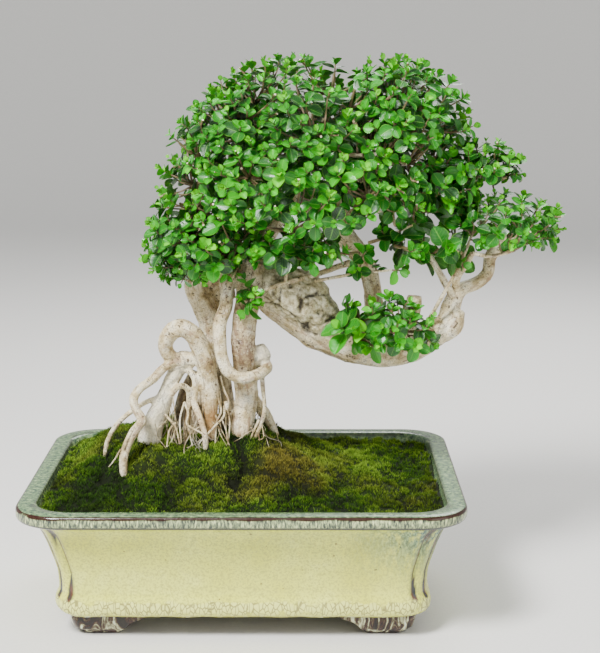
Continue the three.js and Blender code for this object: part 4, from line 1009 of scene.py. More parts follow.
# %% Fine roots, as x, y, z and radius in millimetres
FINE_ROOTS = [
    [(-43, -18, 150, 0.72), (-46, -21, 138, 0.65), (-45, -25, 122, 0.58)],
    [(-40, -18, 146, 0.65), (-40, -22, 135, 0.58), (-37, -26, 120, 0.5)],
    [(-43, -17, 150, 0.79), (-40, -21, 142, 0.79), (-41, -24, 136, 0.72), (-35, -26, 132, 0.72),
     (-27, -27, 128, 0.65)],
    [(-57, -17, 141, 0.94), (-53, -22, 138, 0.86), (-49, -25, 134, 0.72), (-46, -27, 122, 0.58)],
    [(-49, -22, 136, 0.65), (-53, -26, 132, 0.65), (-55, -28, 120, 0.58)],
    [(-15, -12, 146, 0.79), (-15, -19, 140, 0.79), (-22, -23, 133, 0.79), (-31, -27, 124, 0.65)],
    [(-13, -10, 144, 0.65), (-11, -15, 134, 0.58), (-12, -18, 120, 0.5)],
    [(-19, -14, 152, 0.86), (-17, -17, 143, 0.79), (-20, -20, 136, 0.72), (-21, -22, 121, 0.58)],
    [(-17, -15, 138, 0.43), (-13, -19, 128, 0.43), (-12, -20, 119, 0.36)],
    [(-18, -4, 166, 0.72), (-15, -7, 156, 0.72), (-12, -9, 149, 0.65), (-14, -12, 136, 0.58),
     (-13, -13, 119, 0.5)],
    [(-23, -6, 182, 0.58), (-21, -9, 168, 0.58), (-18, -10, 154, 0.58), (-17, -12, 140, 0.5)],
    [(-14, -13, 149, 1.37), (-13, -15, 147, 1.51), (-13, -16, 144, 0.86)],
    [(-86, -42, 122, 0.65), (-90, -40, 115, 0.58), (-95, -38, 108, 0.43)],
    [(10, -13, 136, 0.86), (6, -16, 128, 0.79), (2, -18, 117, 0.58)],
]
coils = [tube(route, 6, 8, 200 + index, 0.15) for index, route in enumerate(FINE_ROOTS)]
shades = [np.tile([0.12, 0, 0], (len(coil[0]), 1)) for coil in coils]
print("fine roots:", len(coils))

# %% Hair roots
HAIR_ROOTS = 130
feet = axis["place"]
seats = feet[(feet[:, 2] > 124) & (feet[:, 2] < 158) & (feet[:, 0] > -62) & (feet[:, 0] < 12)]
for index in range(HAIR_ROOTS):
    top = seats[rng.integers(len(seats))]
    end = top + [rng.normal(0, 9), rng.normal(-3, 5), 0]
    end[2] = float(ground(end[None])[0]) - 2
    upper, lower = top + (end - top) * 0.33, top + (end - top) * 0.66
    upper, lower = upper + rng.normal(0, 2.6, 3), lower + rng.normal(0, 3.2, 3)
    girth = rng.uniform(0.18, 0.4)
    coils.append(tube([(*top, girth), (*upper, girth), (*lower, girth), (*end, 0.7 * girth)], 4, 4))
    stain = rng.choice([0.25, 0.5, 0.85])
    shades.append(np.tile([stain, 0, 0], (len(coils[-1][0]), 1)))
points, quads, caps, lie = joined(coils)
plain = np.zeros((len(points), 3))
hair_marks = {"grain": lie, "bark": plain, "dark": np.concatenate(shades)}
hair_piece = add_piece("fine_roots", points, [quads, caps], [bark], marks=hair_marks)
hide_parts("tree_wood")
print("fine root faces:", len(hair_piece.data.polygons))

# %% [markdown]
# Above the trunk the limbs fork inside the crown, and a branch runs from the nearest limb to the foot
# of each leafy spray. The sprays sit round the skins of a few ellipsoids, the way a grower clips a
# crown into cushions, by the same rule that placed their solids.

# %% Where the leafy sprays stand
CUSHIONS = {
    "crown": {"at": (43, 2, 294), "size": (114, 74, 103), "sprays": 26, "lowest": -0.45, "turn": 0.6},
    "skirt": {"at": (-30, -4, 258), "size": (44, 48, 34), "sprays": 3, "lowest": -0.6, "turn": 3.6},
    "middle": {"at": (50, -24, 262), "size": (44, 30, 22), "sprays": 2, "lowest": -0.4, "turn": 3.5},
    "arm": {"at": (168, 12, 308), "size": (40, 30, 22), "sprays": 2, "lowest": 0, "turn": 0.4},
    "pad": {"at": (174, 6, 262), "size": (60, 44, 32), "sprays": 4, "lowest": -0.4, "turn": 2.7},
    "low": {"at": (98, -22, 206), "size": (40, 30, 26), "sprays": 3, "lowest": -0.1, "turn": 3.0},
    "sprig": {"at": (6, -22, 226), "size": (10, 10, 14), "sprays": 1, "lowest": 0.9, "turn": 0},
}
SPRAY_GAP, FOOT_GAP, BRANCH_TIP = 26.0, 16.0, 1.3
GOLDEN_ANGLE = math.pi * (3 - math.sqrt(5))

sprays = []
for cushion in CUSHIONS.values():
    for index in range(cushion["sprays"]):
        height = 1 - (index + 0.5) / cushion["sprays"] * (1 - cushion["lowest"])
        ring = math.sqrt(1 - height * height)
        angle = cushion["turn"] + index * GOLDEN_ANGLE
        out = np.array([ring * math.cos(angle), ring * math.sin(angle), height])
        size = np.array(cushion["size"], dtype=float)
        way = unit(unit(out / size) + [0, 0, 0.25])
        reach = min(27.0, max(12.0, 0.5 * np.linalg.norm(out * size)))
        foot = np.array(cushion["at"]) + out * size - way * (reach + 4)
        heart = foot + way * reach * 0.6
        gaps = [(np.linalg.norm(s["heart"] - heart), np.linalg.norm(s["foot"] - foot)) for s in sprays]
        if all(hearts > SPRAY_GAP and feet > FOOT_GAP for hearts, feet in gaps):
            sprays.append({"foot": foot, "way": way, "heart": heart, "reach": reach})
print("sprays:", len(sprays))

# %% Branches from the limbs to the sprays
limb_routes = [TRUNKS["trunk"], TRUNKS["rising_branch"], *LIMBS.values()]
limb_spots = [stations_of(route, 3) for route in limb_routes]
limb_places = np.concatenate([spots[0] for spots in limb_spots])
limb_radii = np.concatenate([spots[2] for spots in limb_spots])
slim = (limb_radii < 8) & (limb_places[:, 2] > 190)
limb_places, limb_radii = limb_places[slim], limb_radii[slim]
branches = []
for spray in sprays:
    gaps = np.linalg.norm(limb_places - spray["foot"], axis=1)
    start = int(np.argmin(gaps))
    gap = gaps[start]
    thick = min(BRANCH_TIP + 0.03 * gap, 0.75 * limb_radii[start])
    bend = (limb_places[start] + spray["foot"]) / 2 - spray["way"] * 0.16 * gap
    middle = (*bend, (thick + BRANCH_TIP) / 2)
    branches.append([(*limb_places[start], thick), middle, (*spray["foot"], BRANCH_TIP)])
SHOOTS = [
    [(127, -4, 200, 1.4), (139, -16, 226, 1.3), (152, -14, 250, 1.1), (160, -6, 268, 0.9)],
    [(50, -10, 236, 1.4), (76, -24, 243, 1.1), (103, -24, 246, 0.8)],
    [(88, -2, 262, 1.4), (100, -14, 268, 1.1), (118, -18, 277, 0.8)],
]
branches += SHOOTS
print("branches:", len(branches))

# %% Limbs and branches in their place
coils = [tube(route, 12, 11, 80 + index, 0.16) for index, route in enumerate(LIMBS.values())]
coils += [tube(route, 9, 8, 120 + index, 0.14) for index, route in enumerate(branches)]
points, quads, caps, lie = joined(coils)
plain = np.zeros((len(points), 3))
limb_marks = {"grain": lie, "bark": plain, "dark": plain}
limbs_piece = add_piece("crown_limbs", points, [quads, caps], [bark], marks=limb_marks)
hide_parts("tree_wood")
print("limb faces:", len(limbs_piece.data.polygons))

# %% [markdown]
# The moss is several kinds grown together: mounds about 40 mm wide, each a crowd of smaller cushions,
# with seams between that are painted dark as shade. Shoots 2 to 4 mm tall stand on them like pile on
# velvet. A fine height field gives the mounds, and many thin three-sided spikes give the shoots. Colour
# follows the height and the kind: yellow-green on the tops and the shoot tips, olive brown on the mound
# beside the trunk, and dark green low down, where painted shade also darkens the seams, the roots of
# the shoots and the moss beside the wood.

# %% Moss height and seams
def cells_near(spots, side, seed):
    """How far points lie from the seam of their cell, 0 to 1, in an uneven pattern of cells."""
    draw = np.random.default_rng(seed)
    reach_x, reach_y = POT_LENGTH / 2 / side + 2, POT_DEPTH / 2 / side + 2
    columns, rows = np.meshgrid(np.arange(-reach_x, reach_x), np.arange(-reach_y, reach_y))
    middles = np.column_stack([columns.ravel(), rows.ravel()]) * side
    middles += draw.uniform(-0.4, 0.4, middles.shape) * side
    flat = np.column_stack([spots[:, :2], np.zeros(len(spots))])
    bend = np.column_stack([space_noise(flat * 2.6 / side, seed), space_noise(flat * 2.6 / side, seed + 1)])
    bent = spots[:, :2] + 0.35 * side * (bend - 0.5)
    away = np.sqrt(((bent[:, None, :] - middles[None]) ** 2).sum(axis=2))
    nearest = np.partition(away, 1, axis=1)[:, :2]
    return np.clip((nearest[:, 1] - nearest[:, 0]) / (0.45 * side), 0, 1)


MOUND_SIZE, CUSHION_SIZE = 42.0, 15.0


def moss_surface(spots):
    """Height of the moss and how open a point lies, from 0 in a seam to 1 on a top."""
    flat = np.column_stack([spots[:, :2], np.zeros(len(spots))])
    mounds, cushions = cells_near(spots, MOUND_SIZE, 5), cells_near(spots, CUSHION_SIZE, 15)
    dome = peak(np.hypot(spots[:, 0] - 30, (spots[:, 1] + 30) * 0.9), 0, 25)
    rise = 4.6 * np.sqrt(mounds) - 3.6 + 2.4 * np.sqrt(cushions) - 1.4 + 5.5 * dome
    rise += 2.2 * (layered_noise(flat, 8.0, 9) - 0.5)
    seam = peak(spots[:, 0] + 3 - 3 * np.sin(spots[:, 1] / 8), 0, 3.2)
    seam = seam * np.clip((-12 - spots[:, 1]) / 8, 0, 1) * np.clip((spots[:, 1] + 66) / 12, 0, 1)
    rise -= 5.5 * seam
    openness = (0.6 * np.sqrt(mounds) + 0.4 * np.sqrt(cushions)) * (1 - seam)
    slope_room = np.clip((distance_in(spots) - 15) / 9, 0, 1)
    return ground(spots) + rise * (0.35 + 0.65 * slope_room), openness


print("moss rises", round(float(moss_surface(np.zeros((1, 3)))[0][0]), 1), "mm at the middle")

# %% Moss material
moss, tree, shader = new_material("living_moss", roughness=0.85, specular_ior_level=0.15)
tint = add_node(tree, "ShaderNodeAttribute", {"attribute_name": "moss"})
tint = add_node(tree, "ShaderNodeSeparateColor", {}, {0: tint}).outputs
where = add_node(tree, "ShaderNodeTexCoord").outputs["Object"]
mm = add_node(tree, "ShaderNodeVectorMath", {"operation": "SCALE"}, {0: where, "Scale": 1000.0})
green = [(0.0, "#0a1a02"), (0.3, "#203c06"), (0.6, "#43690f"), (1.0, "#9fc03e")]
green = add_node(tree, "ShaderNodeValToRGB", {}, {"Fac": tint["Red"]}, green)
olive = [(0.0, "#141203"), (0.35, "#37330a"), (0.65, "#5b5417"), (1.0, "#978e3b")]
olive = add_node(tree, "ShaderNodeValToRGB", {}, {"Fac": tint["Red"]}, olive)
cover = add_node(tree, "ShaderNodeMix", COLOUR_MIX, {0: tint["Blue"], 6: green, 7: olive})
grain = {"Vector": mm, "Scale": 1 / 1.8, "Detail": 3.0, "Roughness": 0.65}
grain = add_node(tree, "ShaderNodeTexNoise", {}, grain)
grain = add_node(tree, "ShaderNodeValToRGB", {}, {"Fac": grain}, [(0.36, 0.65), (0.6, 0.0)])
cover = add_node(tree, "ShaderNodeMix", COLOUR_MIX, {0: grain, 6: cover, 7: linear("#141b05")})
# Painted shade: low marks darken the seams, the roots of the shoots, the bed under them and the moss beside
# the wood.
deep = add_node(tree, "ShaderNodeValToRGB", {}, {"Fac": tint["Green"]}, [(0.0, 0.95), (0.6, 0.0)])
cover = add_node(tree, "ShaderNodeMix", COLOUR_MIX, {0: deep, 6: cover, 7: linear("#0e1005")})
tree.links.new(cover.outputs[2], shader.inputs["Base Color"])
print("moss nodes:", len(tree.nodes))

# %% Shoots of the moss
MOSS_MIDDLES = {
    "moss_left_front": (-100, -48),
    "moss_left_back": (-98, 52),
    "moss_centre_front": (-42, -62),
    "moss_centre_back": (-34, 66),
    "moss_mound": (22, -36),
    "moss_behind_mound": (36, 58),
    "moss_right_front": (92, -46),
    "moss_right_back": (96, 44),
}
MOSS_CELL = 2.3
SHOOTS_EACH = 7
TUFT_AREA = 5.6


def spikes_on(roots, ways, lengths, girths):
    """Thin closed three-sided spikes: points, faces and a mark from 0 at the root to 1 at the tip."""
    side = unit(np.cross(ways, [0.31, 0.52, 0.79]))
    other = np.cross(ways, side)
    corners = []
    for turn in (0, 2.094, 4.189):
        corners.append(roots + girths[:, None] * (math.cos(turn) * side + math.sin(turn) * other))
    tips = roots + ways * lengths[:, None]
    points = np.stack(corners + [tips], axis=1).reshape(-1, 3)
    first = np.arange(len(roots))[:, None, None] * 4
    faces = (first + np.array([[0, 1, 3], [1, 2, 3], [2, 0, 3], [2, 1, 0]])).reshape(-1, 3)
    return points, faces, np.tile([0.0, 0.0, 0.0, 1.0], len(roots))


print("moss pads:", len(MOSS_MIDDLES))

# %% Moss pads with their shoots
low_wood = axis["place"][:, 2] < 150
wood_feet, wood_girth = axis["place"][low_wood], axis["radius"][low_wood]
grid_x = np.arange(-POT_LENGTH / 2, POT_LENGTH / 2, MOSS_CELL)
grid_y = np.arange(-POT_DEPTH / 2, POT_DEPTH / 2, MOSS_CELL)
lattice = np.array([(x, y, 0.0) for x in grid_x for y in grid_y])
middles = np.array(list(MOSS_MIDDLES.values()), dtype=float)
cell_middle = lattice + [MOSS_CELL / 2, MOSS_CELL / 2, 0]
owner = np.argmin(((cell_middle[:, None, :2] - middles[None]) ** 2).sum(axis=2), axis=1)
inside = distance_in(cell_middle) > 15.8
across = len(grid_y)
moss_triangles = 0
for index, name in enumerate(MOSS_MIDDLES):
    cells = np.flatnonzero(inside & (owner == index))
    cells = cells[(cells % across < across - 1) & (cells // across < len(grid_x) - 1)]
    quads = np.column_stack([cells, cells + across, cells + across + 1, cells + 1])
    used, renamed = np.unique(quads, return_inverse=True)
    quads = renamed.reshape(-1, 4)
    top = lattice[used].copy()
    top[:, 2], openness = moss_surface(top)
    low = top.copy()
    low[:, 2] -= MOSS_THICKNESS - 1
    edges = np.concatenate([quads[:, [side, (side + 1) % 4]] for side in range(4)])
    forward = {tuple(edge) for edge in edges.tolist()}
    border = np.array([edge for edge in edges.tolist() if (edge[1], edge[0]) not in forward])
    walls = np.column_stack([border[:, 1], border[:, 0], border[:, 0] + len(top), border[:, 1] + len(top)])

    picked = rng.choice(cells, int(len(cells) * MOSS_CELL**2 / TUFT_AREA))
    tufts = lattice[picked] + rng.uniform(0, MOSS_CELL, (len(picked), 3)) * [1, 1, 0]
    tufts = tufts[distance_in(tufts) > 17.2]
    leans = rng.normal(0, 1, (len(tufts) * SHOOTS_EACH, 2))
    roots = np.repeat(tufts, SHOOTS_EACH, axis=0)
    roots[:, :2] += 0.85 * leans
    roots[:, 2], root_openness = moss_surface(roots)
    sideways = 0.36 * leans + rng.normal(0, 0.2, leans.shape)
    ways = unit(np.column_stack([sideways, np.ones(len(roots))]))
    tall = np.repeat(rng.uniform(0.75, 1.35, len(tufts)), SHOOTS_EACH)
    lengths = rng.uniform(2.3, 3.5, len(roots)) * tall * (0.65 + 0.5 * root_openness)
    girths = rng.uniform(0.34, 0.5, len(roots))
    spike_points, spike_faces, tip = spikes_on(roots - ways * 0.8, ways, lengths, girths)

    points = np.concatenate([top, low, spike_points])
    flat = points * [1, 1, 0]
    dome = peak(np.hypot(points[:, 0] - 30, (points[:, 1] + 34) * 0.9), 0, 30)
    olive = np.clip(1.25 * dome + 1.9 * (layered_noise(flat, 34.0, 77, 2) - 0.54), 0, 1)
    open_all = np.concatenate([openness, openness, np.repeat(root_openness, 4)])
    # Partly painted shade: the seams are darker and the open tops lighter. The lighter shoot tips and the
    # tones of tufts and shoots are the moss's own colour.
    shade = -0.12 + 0.28 * open_all + 1.05 * (layered_noise(flat, 34.0, 21, 3) - 0.5)
    tuft_tone = np.repeat(rng.normal(0, 0.07, len(tufts)), SHOOTS_EACH * 4)
    shoot_tone = np.repeat(rng.normal(0, 0.06, len(roots)), 4)
    shade[2 * len(top) :] += 0.74 * tip + tuft_tone + shoot_tone
    # Painted shade: moss within 4.5 mm of the wood, the bed under the shoots and the roots of the shoots get
    # low marks, so that they darken.
    gaps = np.linalg.norm(points[:, None] - wood_feet[None, ::4], axis=2) - wood_girth[None, ::4]
    contact = np.clip(gaps.min(axis=1) / 4.5, 0, 1)
    shade_depth = np.clip(open_all * 1.1 - 0.25, 0, 1) * (0.35 + 0.65 * contact)
    shade_depth[: 2 * len(top)] *= 0.45
    shade_depth[2 * len(top) :] = np.clip(shade_depth[2 * len(top) :] * (0.5 + 0.5 * tip) + 0.35 * tip, 0, 1)
    faces = [np.concatenate([quads, (quads + len(top))[:, ::-1], walls]), spike_faces + 2 * len(top)]
    marks = {"moss": np.column_stack([np.clip(shade, 0, 1), shade_depth, olive])}
    pad = add_piece(name.replace("moss_", "moss_bed_"), points, faces, [moss], marks=marks)
    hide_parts(name)
    moss_triangles += 2 * len(faces[0]) + len(faces[1])
print("moss triangles:", moss_triangles)

# %% [markdown]
# The foliage is a crowd of shoot tips. Premna leaves stand in opposite pairs, each pair turned square
# to the last, so from above a tip looks like a small rosette: old leaves spread flat outside, young
# ones stand up in the middle. The crown is a broad dome that is clipped flat below, with a low skirt on
# the left, a thin shelf in front, two tiers on the right and a small pad on the trunk. Tips cover the
# skins of these lobes, and fewer ones fill the inside, painted darker both as older leaves and as the
# shade inside the crown.

# %% Lobes of the crown
LOBES = {
    "dome": {"at": (42, 4, 296), "size": (110, 72, 97), "lowest": -0.16, "gap": 10.8},
    "top_left": {"at": (6, 2, 328), "size": (57, 54, 55), "lowest": -0.1, "gap": 10.8},
    "top_right": {"at": (104, 6, 340), "size": (55, 56, 54), "lowest": -0.1, "gap": 10.8},
    "left_skirt": {"at": (-30, -2, 264), "size": (42, 52, 36), "lowest": -0.8, "gap": 11.2},
    "front_shelf": {"at": (34, -36, 262), "size": (40, 18, 13), "lowest": -0.7, "gap": 11.2},
    "shoulder": {"at": (160, 12, 316), "size": (42, 30, 17), "lowest": -0.6, "gap": 11.2},
    "right_fill": {"at": (136, 6, 300), "size": (34, 34, 22), "lowest": -0.6, "gap": 11.6},
    "pad": {"at": (182, 8, 274), "size": (46, 38, 22), "lowest": -0.6, "gap": 11.2},
    "pad_left": {"at": (134, -8, 263), "size": (32, 26, 19), "lowest": -0.8, "gap": 18.5},
    "low": {"at": (108, -24, 204), "size": (35, 22, 18), "lowest": -0.75, "gap": 11.6},
    "low_sprig": {"at": (106, -22, 219), "size": (13, 10, 11), "lowest": -0.2, "gap": 10.8},
    "low_left": {"at": (77, -30, 205), "size": (12, 10, 9), "lowest": -0.9, "gap": 15.0},
    "shoot_low": {"at": (94, -24, 247), "size": (18, 6, 5), "lowest": -0.9, "gap": 12.5},
    "shoot_mid": {"at": (108, -18, 273), "size": (16, 8, 6), "lowest": -0.9, "gap": 12.5},
    "sprig": {"at": (4, -24, 228), "size": (10, 8, 14), "lowest": -1.0, "gap": 10.8},
}
print("lobes:", len(LOBES))

# %% Points spread over the lobes
BIG_LOBES, INNER_GAP = 7, 15.5


def spread_points(share, lobes, gap=None):
    """Places on the scaled skins of the lobes, outside the others and at least a gap apart."""
    kept, ways = [], []
    for lobe in lobes:
        at, size = np.array(lobe["at"], dtype=float), np.array(lobe["size"], dtype=float)
        outs = unit(rng.normal(0, 1, (5000, 3)))
        outs = outs[outs[:, 2] > lobe["lowest"]]
        dents = np.clip((layered_noise(at + outs * size, 30.0, 301, 2) - 0.42) / 0.3, 0, 1)
        places = at + outs * size * (share * (0.86 + 0.14 * dents))[:, None]
        normals = unit(outs / size)
        tiers = layered_noise(places * [1, 1, 1.5], 24.0, 311, 2)
        free = (tiers > 0.36) | (size.max() < 30) | (share < 0.8)
        for other in lobes:
            if other is not lobe:
                inward = (places - other["at"]) / np.array(other["size"])
                under = inward[:, 2] < other["lowest"] - 0.05
                free &= (np.linalg.norm(inward, axis=1) > share * 0.9) | under
        for place, normal in zip(places[free], normals[free]):
            if not kept or np.min(np.linalg.norm(np.array(kept) - place, axis=1)) > (gap or lobe["gap"]):
                kept.append(place)
                ways.append(normal)
    return np.array(kept), np.array(ways)


lobes = list(LOBES.values())
outer_tips, outer_ways = spread_points(0.97, lobes)
inner_layers = [spread_points(share, lobes[:BIG_LOBES], INNER_GAP) for share in (0.79, 0.58)]
print("points on the outer skin:", len(outer_tips))

# %% Where the shoot tips stand
inner_tips, inner_ways = (np.concatenate(parts) for parts in zip(*inner_layers))
spray_tips = np.array([spray["foot"] + spray["way"] * spray["reach"] * 0.85 for spray in sprays])
spray_tips = np.array([p for p in spray_tips if np.min(np.linalg.norm(outer_tips - p, axis=1)) > 9])
tips = np.concatenate([outer_tips, spray_tips, inner_tips])
tip_ways = np.concatenate([outer_ways, unit(spray_tips - [50, 0, 250]), inner_ways])
tip_ways = unit(tip_ways + [0, 0, 0.5] + rng.normal(0, 0.24, (len(tips), 3)))
tip_inner = np.arange(len(tips)) >= len(outer_tips) + len(spray_tips)
tips = tips - tip_ways * rng.uniform(-1.5, 4.5, len(tips))[:, None]
hearts = np.array([spray["heart"] for spray in sprays])
tip_owner = np.argmin(np.linalg.norm(tips[:, None] - hearts[None], axis=2), axis=1)
print("shoot tips:", len(outer_tips), "outside,", len(spray_tips), "on sprays,", len(inner_tips), "inside")

# %% [markdown]
# A leaf is a closed lens about 0.4 mm thick: round to obovate, cupped, arched from rib to tip, with a
# short narrow stalk. Its mark holds how far from the rib and how far along each point lies, so that
# the shader can draw rib, side veins and the pale margin without any image.

# %% Shape of a leaf
LEAF_ROWS = np.array([0.0, 0.1, 0.22, 0.38, 0.58, 0.78, 0.93, 1.0])
LEAF_HALF = np.array([0.03, 0.05, 0.23, 0.35, 0.39, 0.33, 0.19, 0.05])
LEAF_COLUMNS = np.array([-1.0, 0.0, 1.0])
LEAF_THICK = 0.4


def leaf_points(roots, ways, ups, lengths, cups, droops, widths):
    """Points of many leaves: the upper sheet, then the inner points of the lower sheet."""
    ways = unit(ways)
    ups = unit(ups - ways * (ups * ways).sum(axis=1)[:, None])
    asides = np.cross(ups, ways)
    along, across = LEAF_ROWS[None, :, None], LEAF_COLUMNS[None, None, :]
    half = LEAF_HALF[None, :, None] * widths[:, None, None]
    blade = np.clip((along - 0.13) / 0.87, 0, 1)
    lift = cups[:, None, None] * np.abs(across) ** 1.6 * half * 1.6 - droops[:, None, None] * blade**2
    upper = np.stack([along + 0 * across + 0 * half, across * half, lift], axis=3)
    lower = upper[:, 1:-1, 1:-1].copy()
    sheet = np.clip(np.sin(math.pi * LEAF_ROWS[1:-1]), 0.35, 1)[None, :, None]
    lower[..., 2] -= LEAF_THICK * sheet / lengths[:, None, None]
    local = [upper.reshape(len(roots), -1, 3), lower.reshape(len(roots), -1, 3)]
    local = np.concatenate(local, axis=1) * lengths[:, None, None]
    spots = roots[:, None] + local[..., :1] * ways[:, None]
    return spots + local[..., 1:2] * asides[:, None] + local[..., 2:] * ups[:, None]


print("rows and columns of a leaf:", len(LEAF_ROWS), len(LEAF_COLUMNS))

# %% Faces and marks of a leaf
def sheet_faces(grid, flipped):
    """Quads over a grid of point numbers, turned over for the lower sheet."""
    a, b, c, d = grid[:-1, :-1], grid[1:, :-1], grid[1:, 1:], grid[:-1, 1:]
    return np.stack([d, c, b, a] if flipped else [a, b, c, d], axis=2).reshape(-1, 4)


rows, columns = len(LEAF_ROWS), len(LEAF_COLUMNS)
upper_grid = np.arange(rows * columns).reshape(rows, columns)
lower_grid = upper_grid.copy()
below = np.arange((rows - 2) * (columns - 2)).reshape(rows - 2, columns - 2)
lower_grid[1:-1, 1:-1] = rows * columns + below
leaf_faces = np.concatenate([sheet_faces(upper_grid, False), sheet_faces(lower_grid, True)])
mark_along, mark_across = np.meshgrid(LEAF_ROWS, np.abs(LEAF_COLUMNS), indexing="ij")
leaf_along = np.concatenate([mark_along.ravel(), mark_along[1:-1, 1:-1].ravel()])
leaf_across = np.concatenate([mark_across.ravel(), mark_across[1:-1, 1:-1].ravel()])
leaf_under = np.concatenate([np.zeros(rows * columns), np.ones((rows - 2) * (columns - 2))])
print("triangles a leaf:", 2 * len(leaf_faces))

# %% [markdown]
# Each tip gets a twig from the wood nearest to it, bent a little as twigs grow, and then its pairs of
# leaves. Young tips are long shoots with small bright leaves spaced along them. The right pad and the
# low pad have larger, older leaves, as lower branches do.

# %% Where twigs can start
skeleton = [stations_of(route, 6) for route in [*limb_routes, *branches]]
twig_starts = np.concatenate([spots[0] for spots in skeleton])
twig_radii = np.concatenate([spots[2] for spots in skeleton])
inner_crown = (twig_starts[:, 2] > 190) & (twig_radii < 8)
twig_starts, twig_radii = twig_starts[inner_crown], twig_radii[inner_crown]
print("places for twigs:", len(twig_starts))

# %% Twigs and leaf places
OLD_LEAF, TIP_LOSS, YOUNG_SHARE = 11.8, 6.8, 0.3
YOUNG_SHOOT, OLD_SHOOT = 11.0, 6.5
BIG_LEAVES = [(LOBES["pad_left"]["at"], 32, 1.4), (LOBES["low_left"]["at"], 16, 1.6)]
leaf_rows = []
twigs = [[] for _ in sprays]
for index, (tip, way) in enumerate(zip(tips, tip_ways)):
    owner_index = tip_owner[index]
    toward = tip - twig_starts
    away = np.linalg.norm(toward, axis=1)
    start = int(np.argmin(away * (1.25 - 0.45 * (toward @ way) / away)))
    gap = away[start]
    girth = min(0.55 + 0.012 * gap, 0.8 * twig_radii[start])
    bend = twig_starts[start] + toward[start] * 0.55 - way * 0.13 * gap + rng.normal(0, 0.03 * gap, 3)
    route = [(*twig_starts[start], girth), (*bend, (girth + 0.5) / 2)]
    twigs[owner_index].append(route + [(*(tip - way * 1.5), 0.5), (*(tip + way * 3), 0.35)])
    side = unit(np.cross(way, rng.normal(0, 1, 3)))
    other = np.cross(way, side)
    big = max([size for at, reach, size in BIG_LEAVES if np.linalg.norm(tip - at) < reach] + [1.0])
    young = rng.uniform() < YOUNG_SHARE and not tip_inner[index]
    vigour = rng.uniform(0.8, 1.15) * (1.15 if tip_inner[index] else 1) * big
    pairs = 2 if tip_inner[index] else int(rng.integers(4, 6) if young else rng.integers(3, 5))
    stretch = YOUNG_SHOOT if young else OLD_SHOOT
    # Partly painted shade: inner tips get dark old-leaf greens, as older leaves are darker and as the shade
    # deep inside the crown.
    age_and_shade = 0.85 if tip_inner[index] or big > 1 else 0.62
    age_and_shade += 0.5 * (layered_noise(tip[None], 22.0, 321, 2)[0] - 0.5)
    if not tip_inner[index] and np.linalg.norm(tip - LOBES["low"]["at"]) < 42:
        age_and_shade = 0.55
    for pair in range(pairs):
        share = 0.5 * pair / (pairs - 1) if tip_inner[index] else pair / (pairs - 1)
        length = (OLD_LEAF - TIP_LOSS * share) * vigour * (0.82 if young else 1)
        tilt = math.radians(rng.uniform(-12, 8) + 62 * share + (20 if young else 4))
        seat = tip + way * (stretch * (share - 0.55))
        arm = side if pair % 2 else other
        for sign in (-1, 1):
            turn = unit(arm * sign + rng.normal(0, 0.16, 3))
            leaf_way = turn * math.cos(tilt) + way * math.sin(tilt)
            up = way * math.cos(tilt) - turn * math.sin(tilt) + rng.normal(0, 0.16, 3)
            leaf_age_and_shade = np.clip(age_and_shade - 0.46 * share - 0.22 * young + rng.normal(0, 0.12), 0, 1)
            shape = (length * rng.uniform(0.86, 1.12), rng.uniform(0.05, 0.34), rng.uniform(0.0, 0.22))
            leaf_rows.append((*seat, *leaf_way, *up, *shape, rng.uniform(0.9, 1.12), leaf_age_and_shade, owner_index))
leaf_rows = np.array(leaf_rows)
print("leaves:", len(leaf_rows), "twigs:", sum(len(group) for group in twigs))

# %% [markdown]
# The leaf skin is waxy, so a soft clear coat gives the small bright highlights. Young leaves are lime,
# grown ones mid green, and the oldest dark and a little blue. The inner tips get these dark greens too,
# both as old leaves and as painted shade inside the crown. The underside is paler and duller. Light
# that enters a leaf glows through it, which a little subsurface gives.

# %% Leaf skin
leaf_skin, tree, shader = new_material("waxy_premna_leaf", roughness=0.4, ior=1.45, coat_weight=0.22)
shader.inputs["Coat Roughness"].default_value = 0.12
mark = add_node(tree, "ShaderNodeAttribute", {"attribute_name": "leaf"})
mark = add_node(tree, "ShaderNodeSeparateColor", {}, {0: mark}).outputs
more = add_node(tree, "ShaderNodeAttribute", {"attribute_name": "leaf_side"})
more = add_node(tree, "ShaderNodeSeparateColor", {}, {0: more}).outputs
# The dark end of this ramp serves old leaves and the painted shade of the inner tips.
ages_and_shade = [(0.0, "#74de0e"), (0.2, "#37b206"), (0.42, "#157a06"), (0.66, "#074806"), (1.0, "#021f09")]
green = add_node(tree, "ShaderNodeValToRGB", {}, {"Fac": mark["Red"]}, ages_and_shade)
tone = add_node(tree, "ShaderNodeMath", {"operation": "MULTIPLY"}, {0: more["Green"], 1: 0.28})
green = add_node(tree, "ShaderNodeMix", COLOUR_MIX, {0: tone, 6: green, 7: linear("#1b7a04")})
rib = add_node(tree, "ShaderNodeValToRGB", {}, {"Fac": mark["Green"]}, [(0.0, 0.36), (0.1, 0.0)])
green = add_node(tree, "ShaderNodeMix", COLOUR_MIX, {0: rib, 6: green, 7: linear("#86d048")})
slant = {"operation": "MULTIPLY_ADD"}
slant = add_node(tree, "ShaderNodeMath", slant, {0: mark["Green"], 1: -0.3, 2: mark["Blue"]})
slant = add_node(tree, "ShaderNodeMath", {"operation": "MULTIPLY"}, {0: slant, 1: 7.0})
vein = add_node(tree, "ShaderNodeMath", {"operation": "PINGPONG"}, {0: slant, 1: 0.5})
vein = add_node(tree, "ShaderNodeValToRGB", {}, {"Fac": vein}, [(0.0, 0.2), (0.09, 0.0)])
green = add_node(tree, "ShaderNodeMix", COLOUR_MIX, {0: vein, 6: green, 7: linear("#7cbc40")})
margin = add_node(tree, "ShaderNodeValToRGB", {}, {"Fac": mark["Green"]}, [(0.88, 0.0), (1.0, 0.5)])
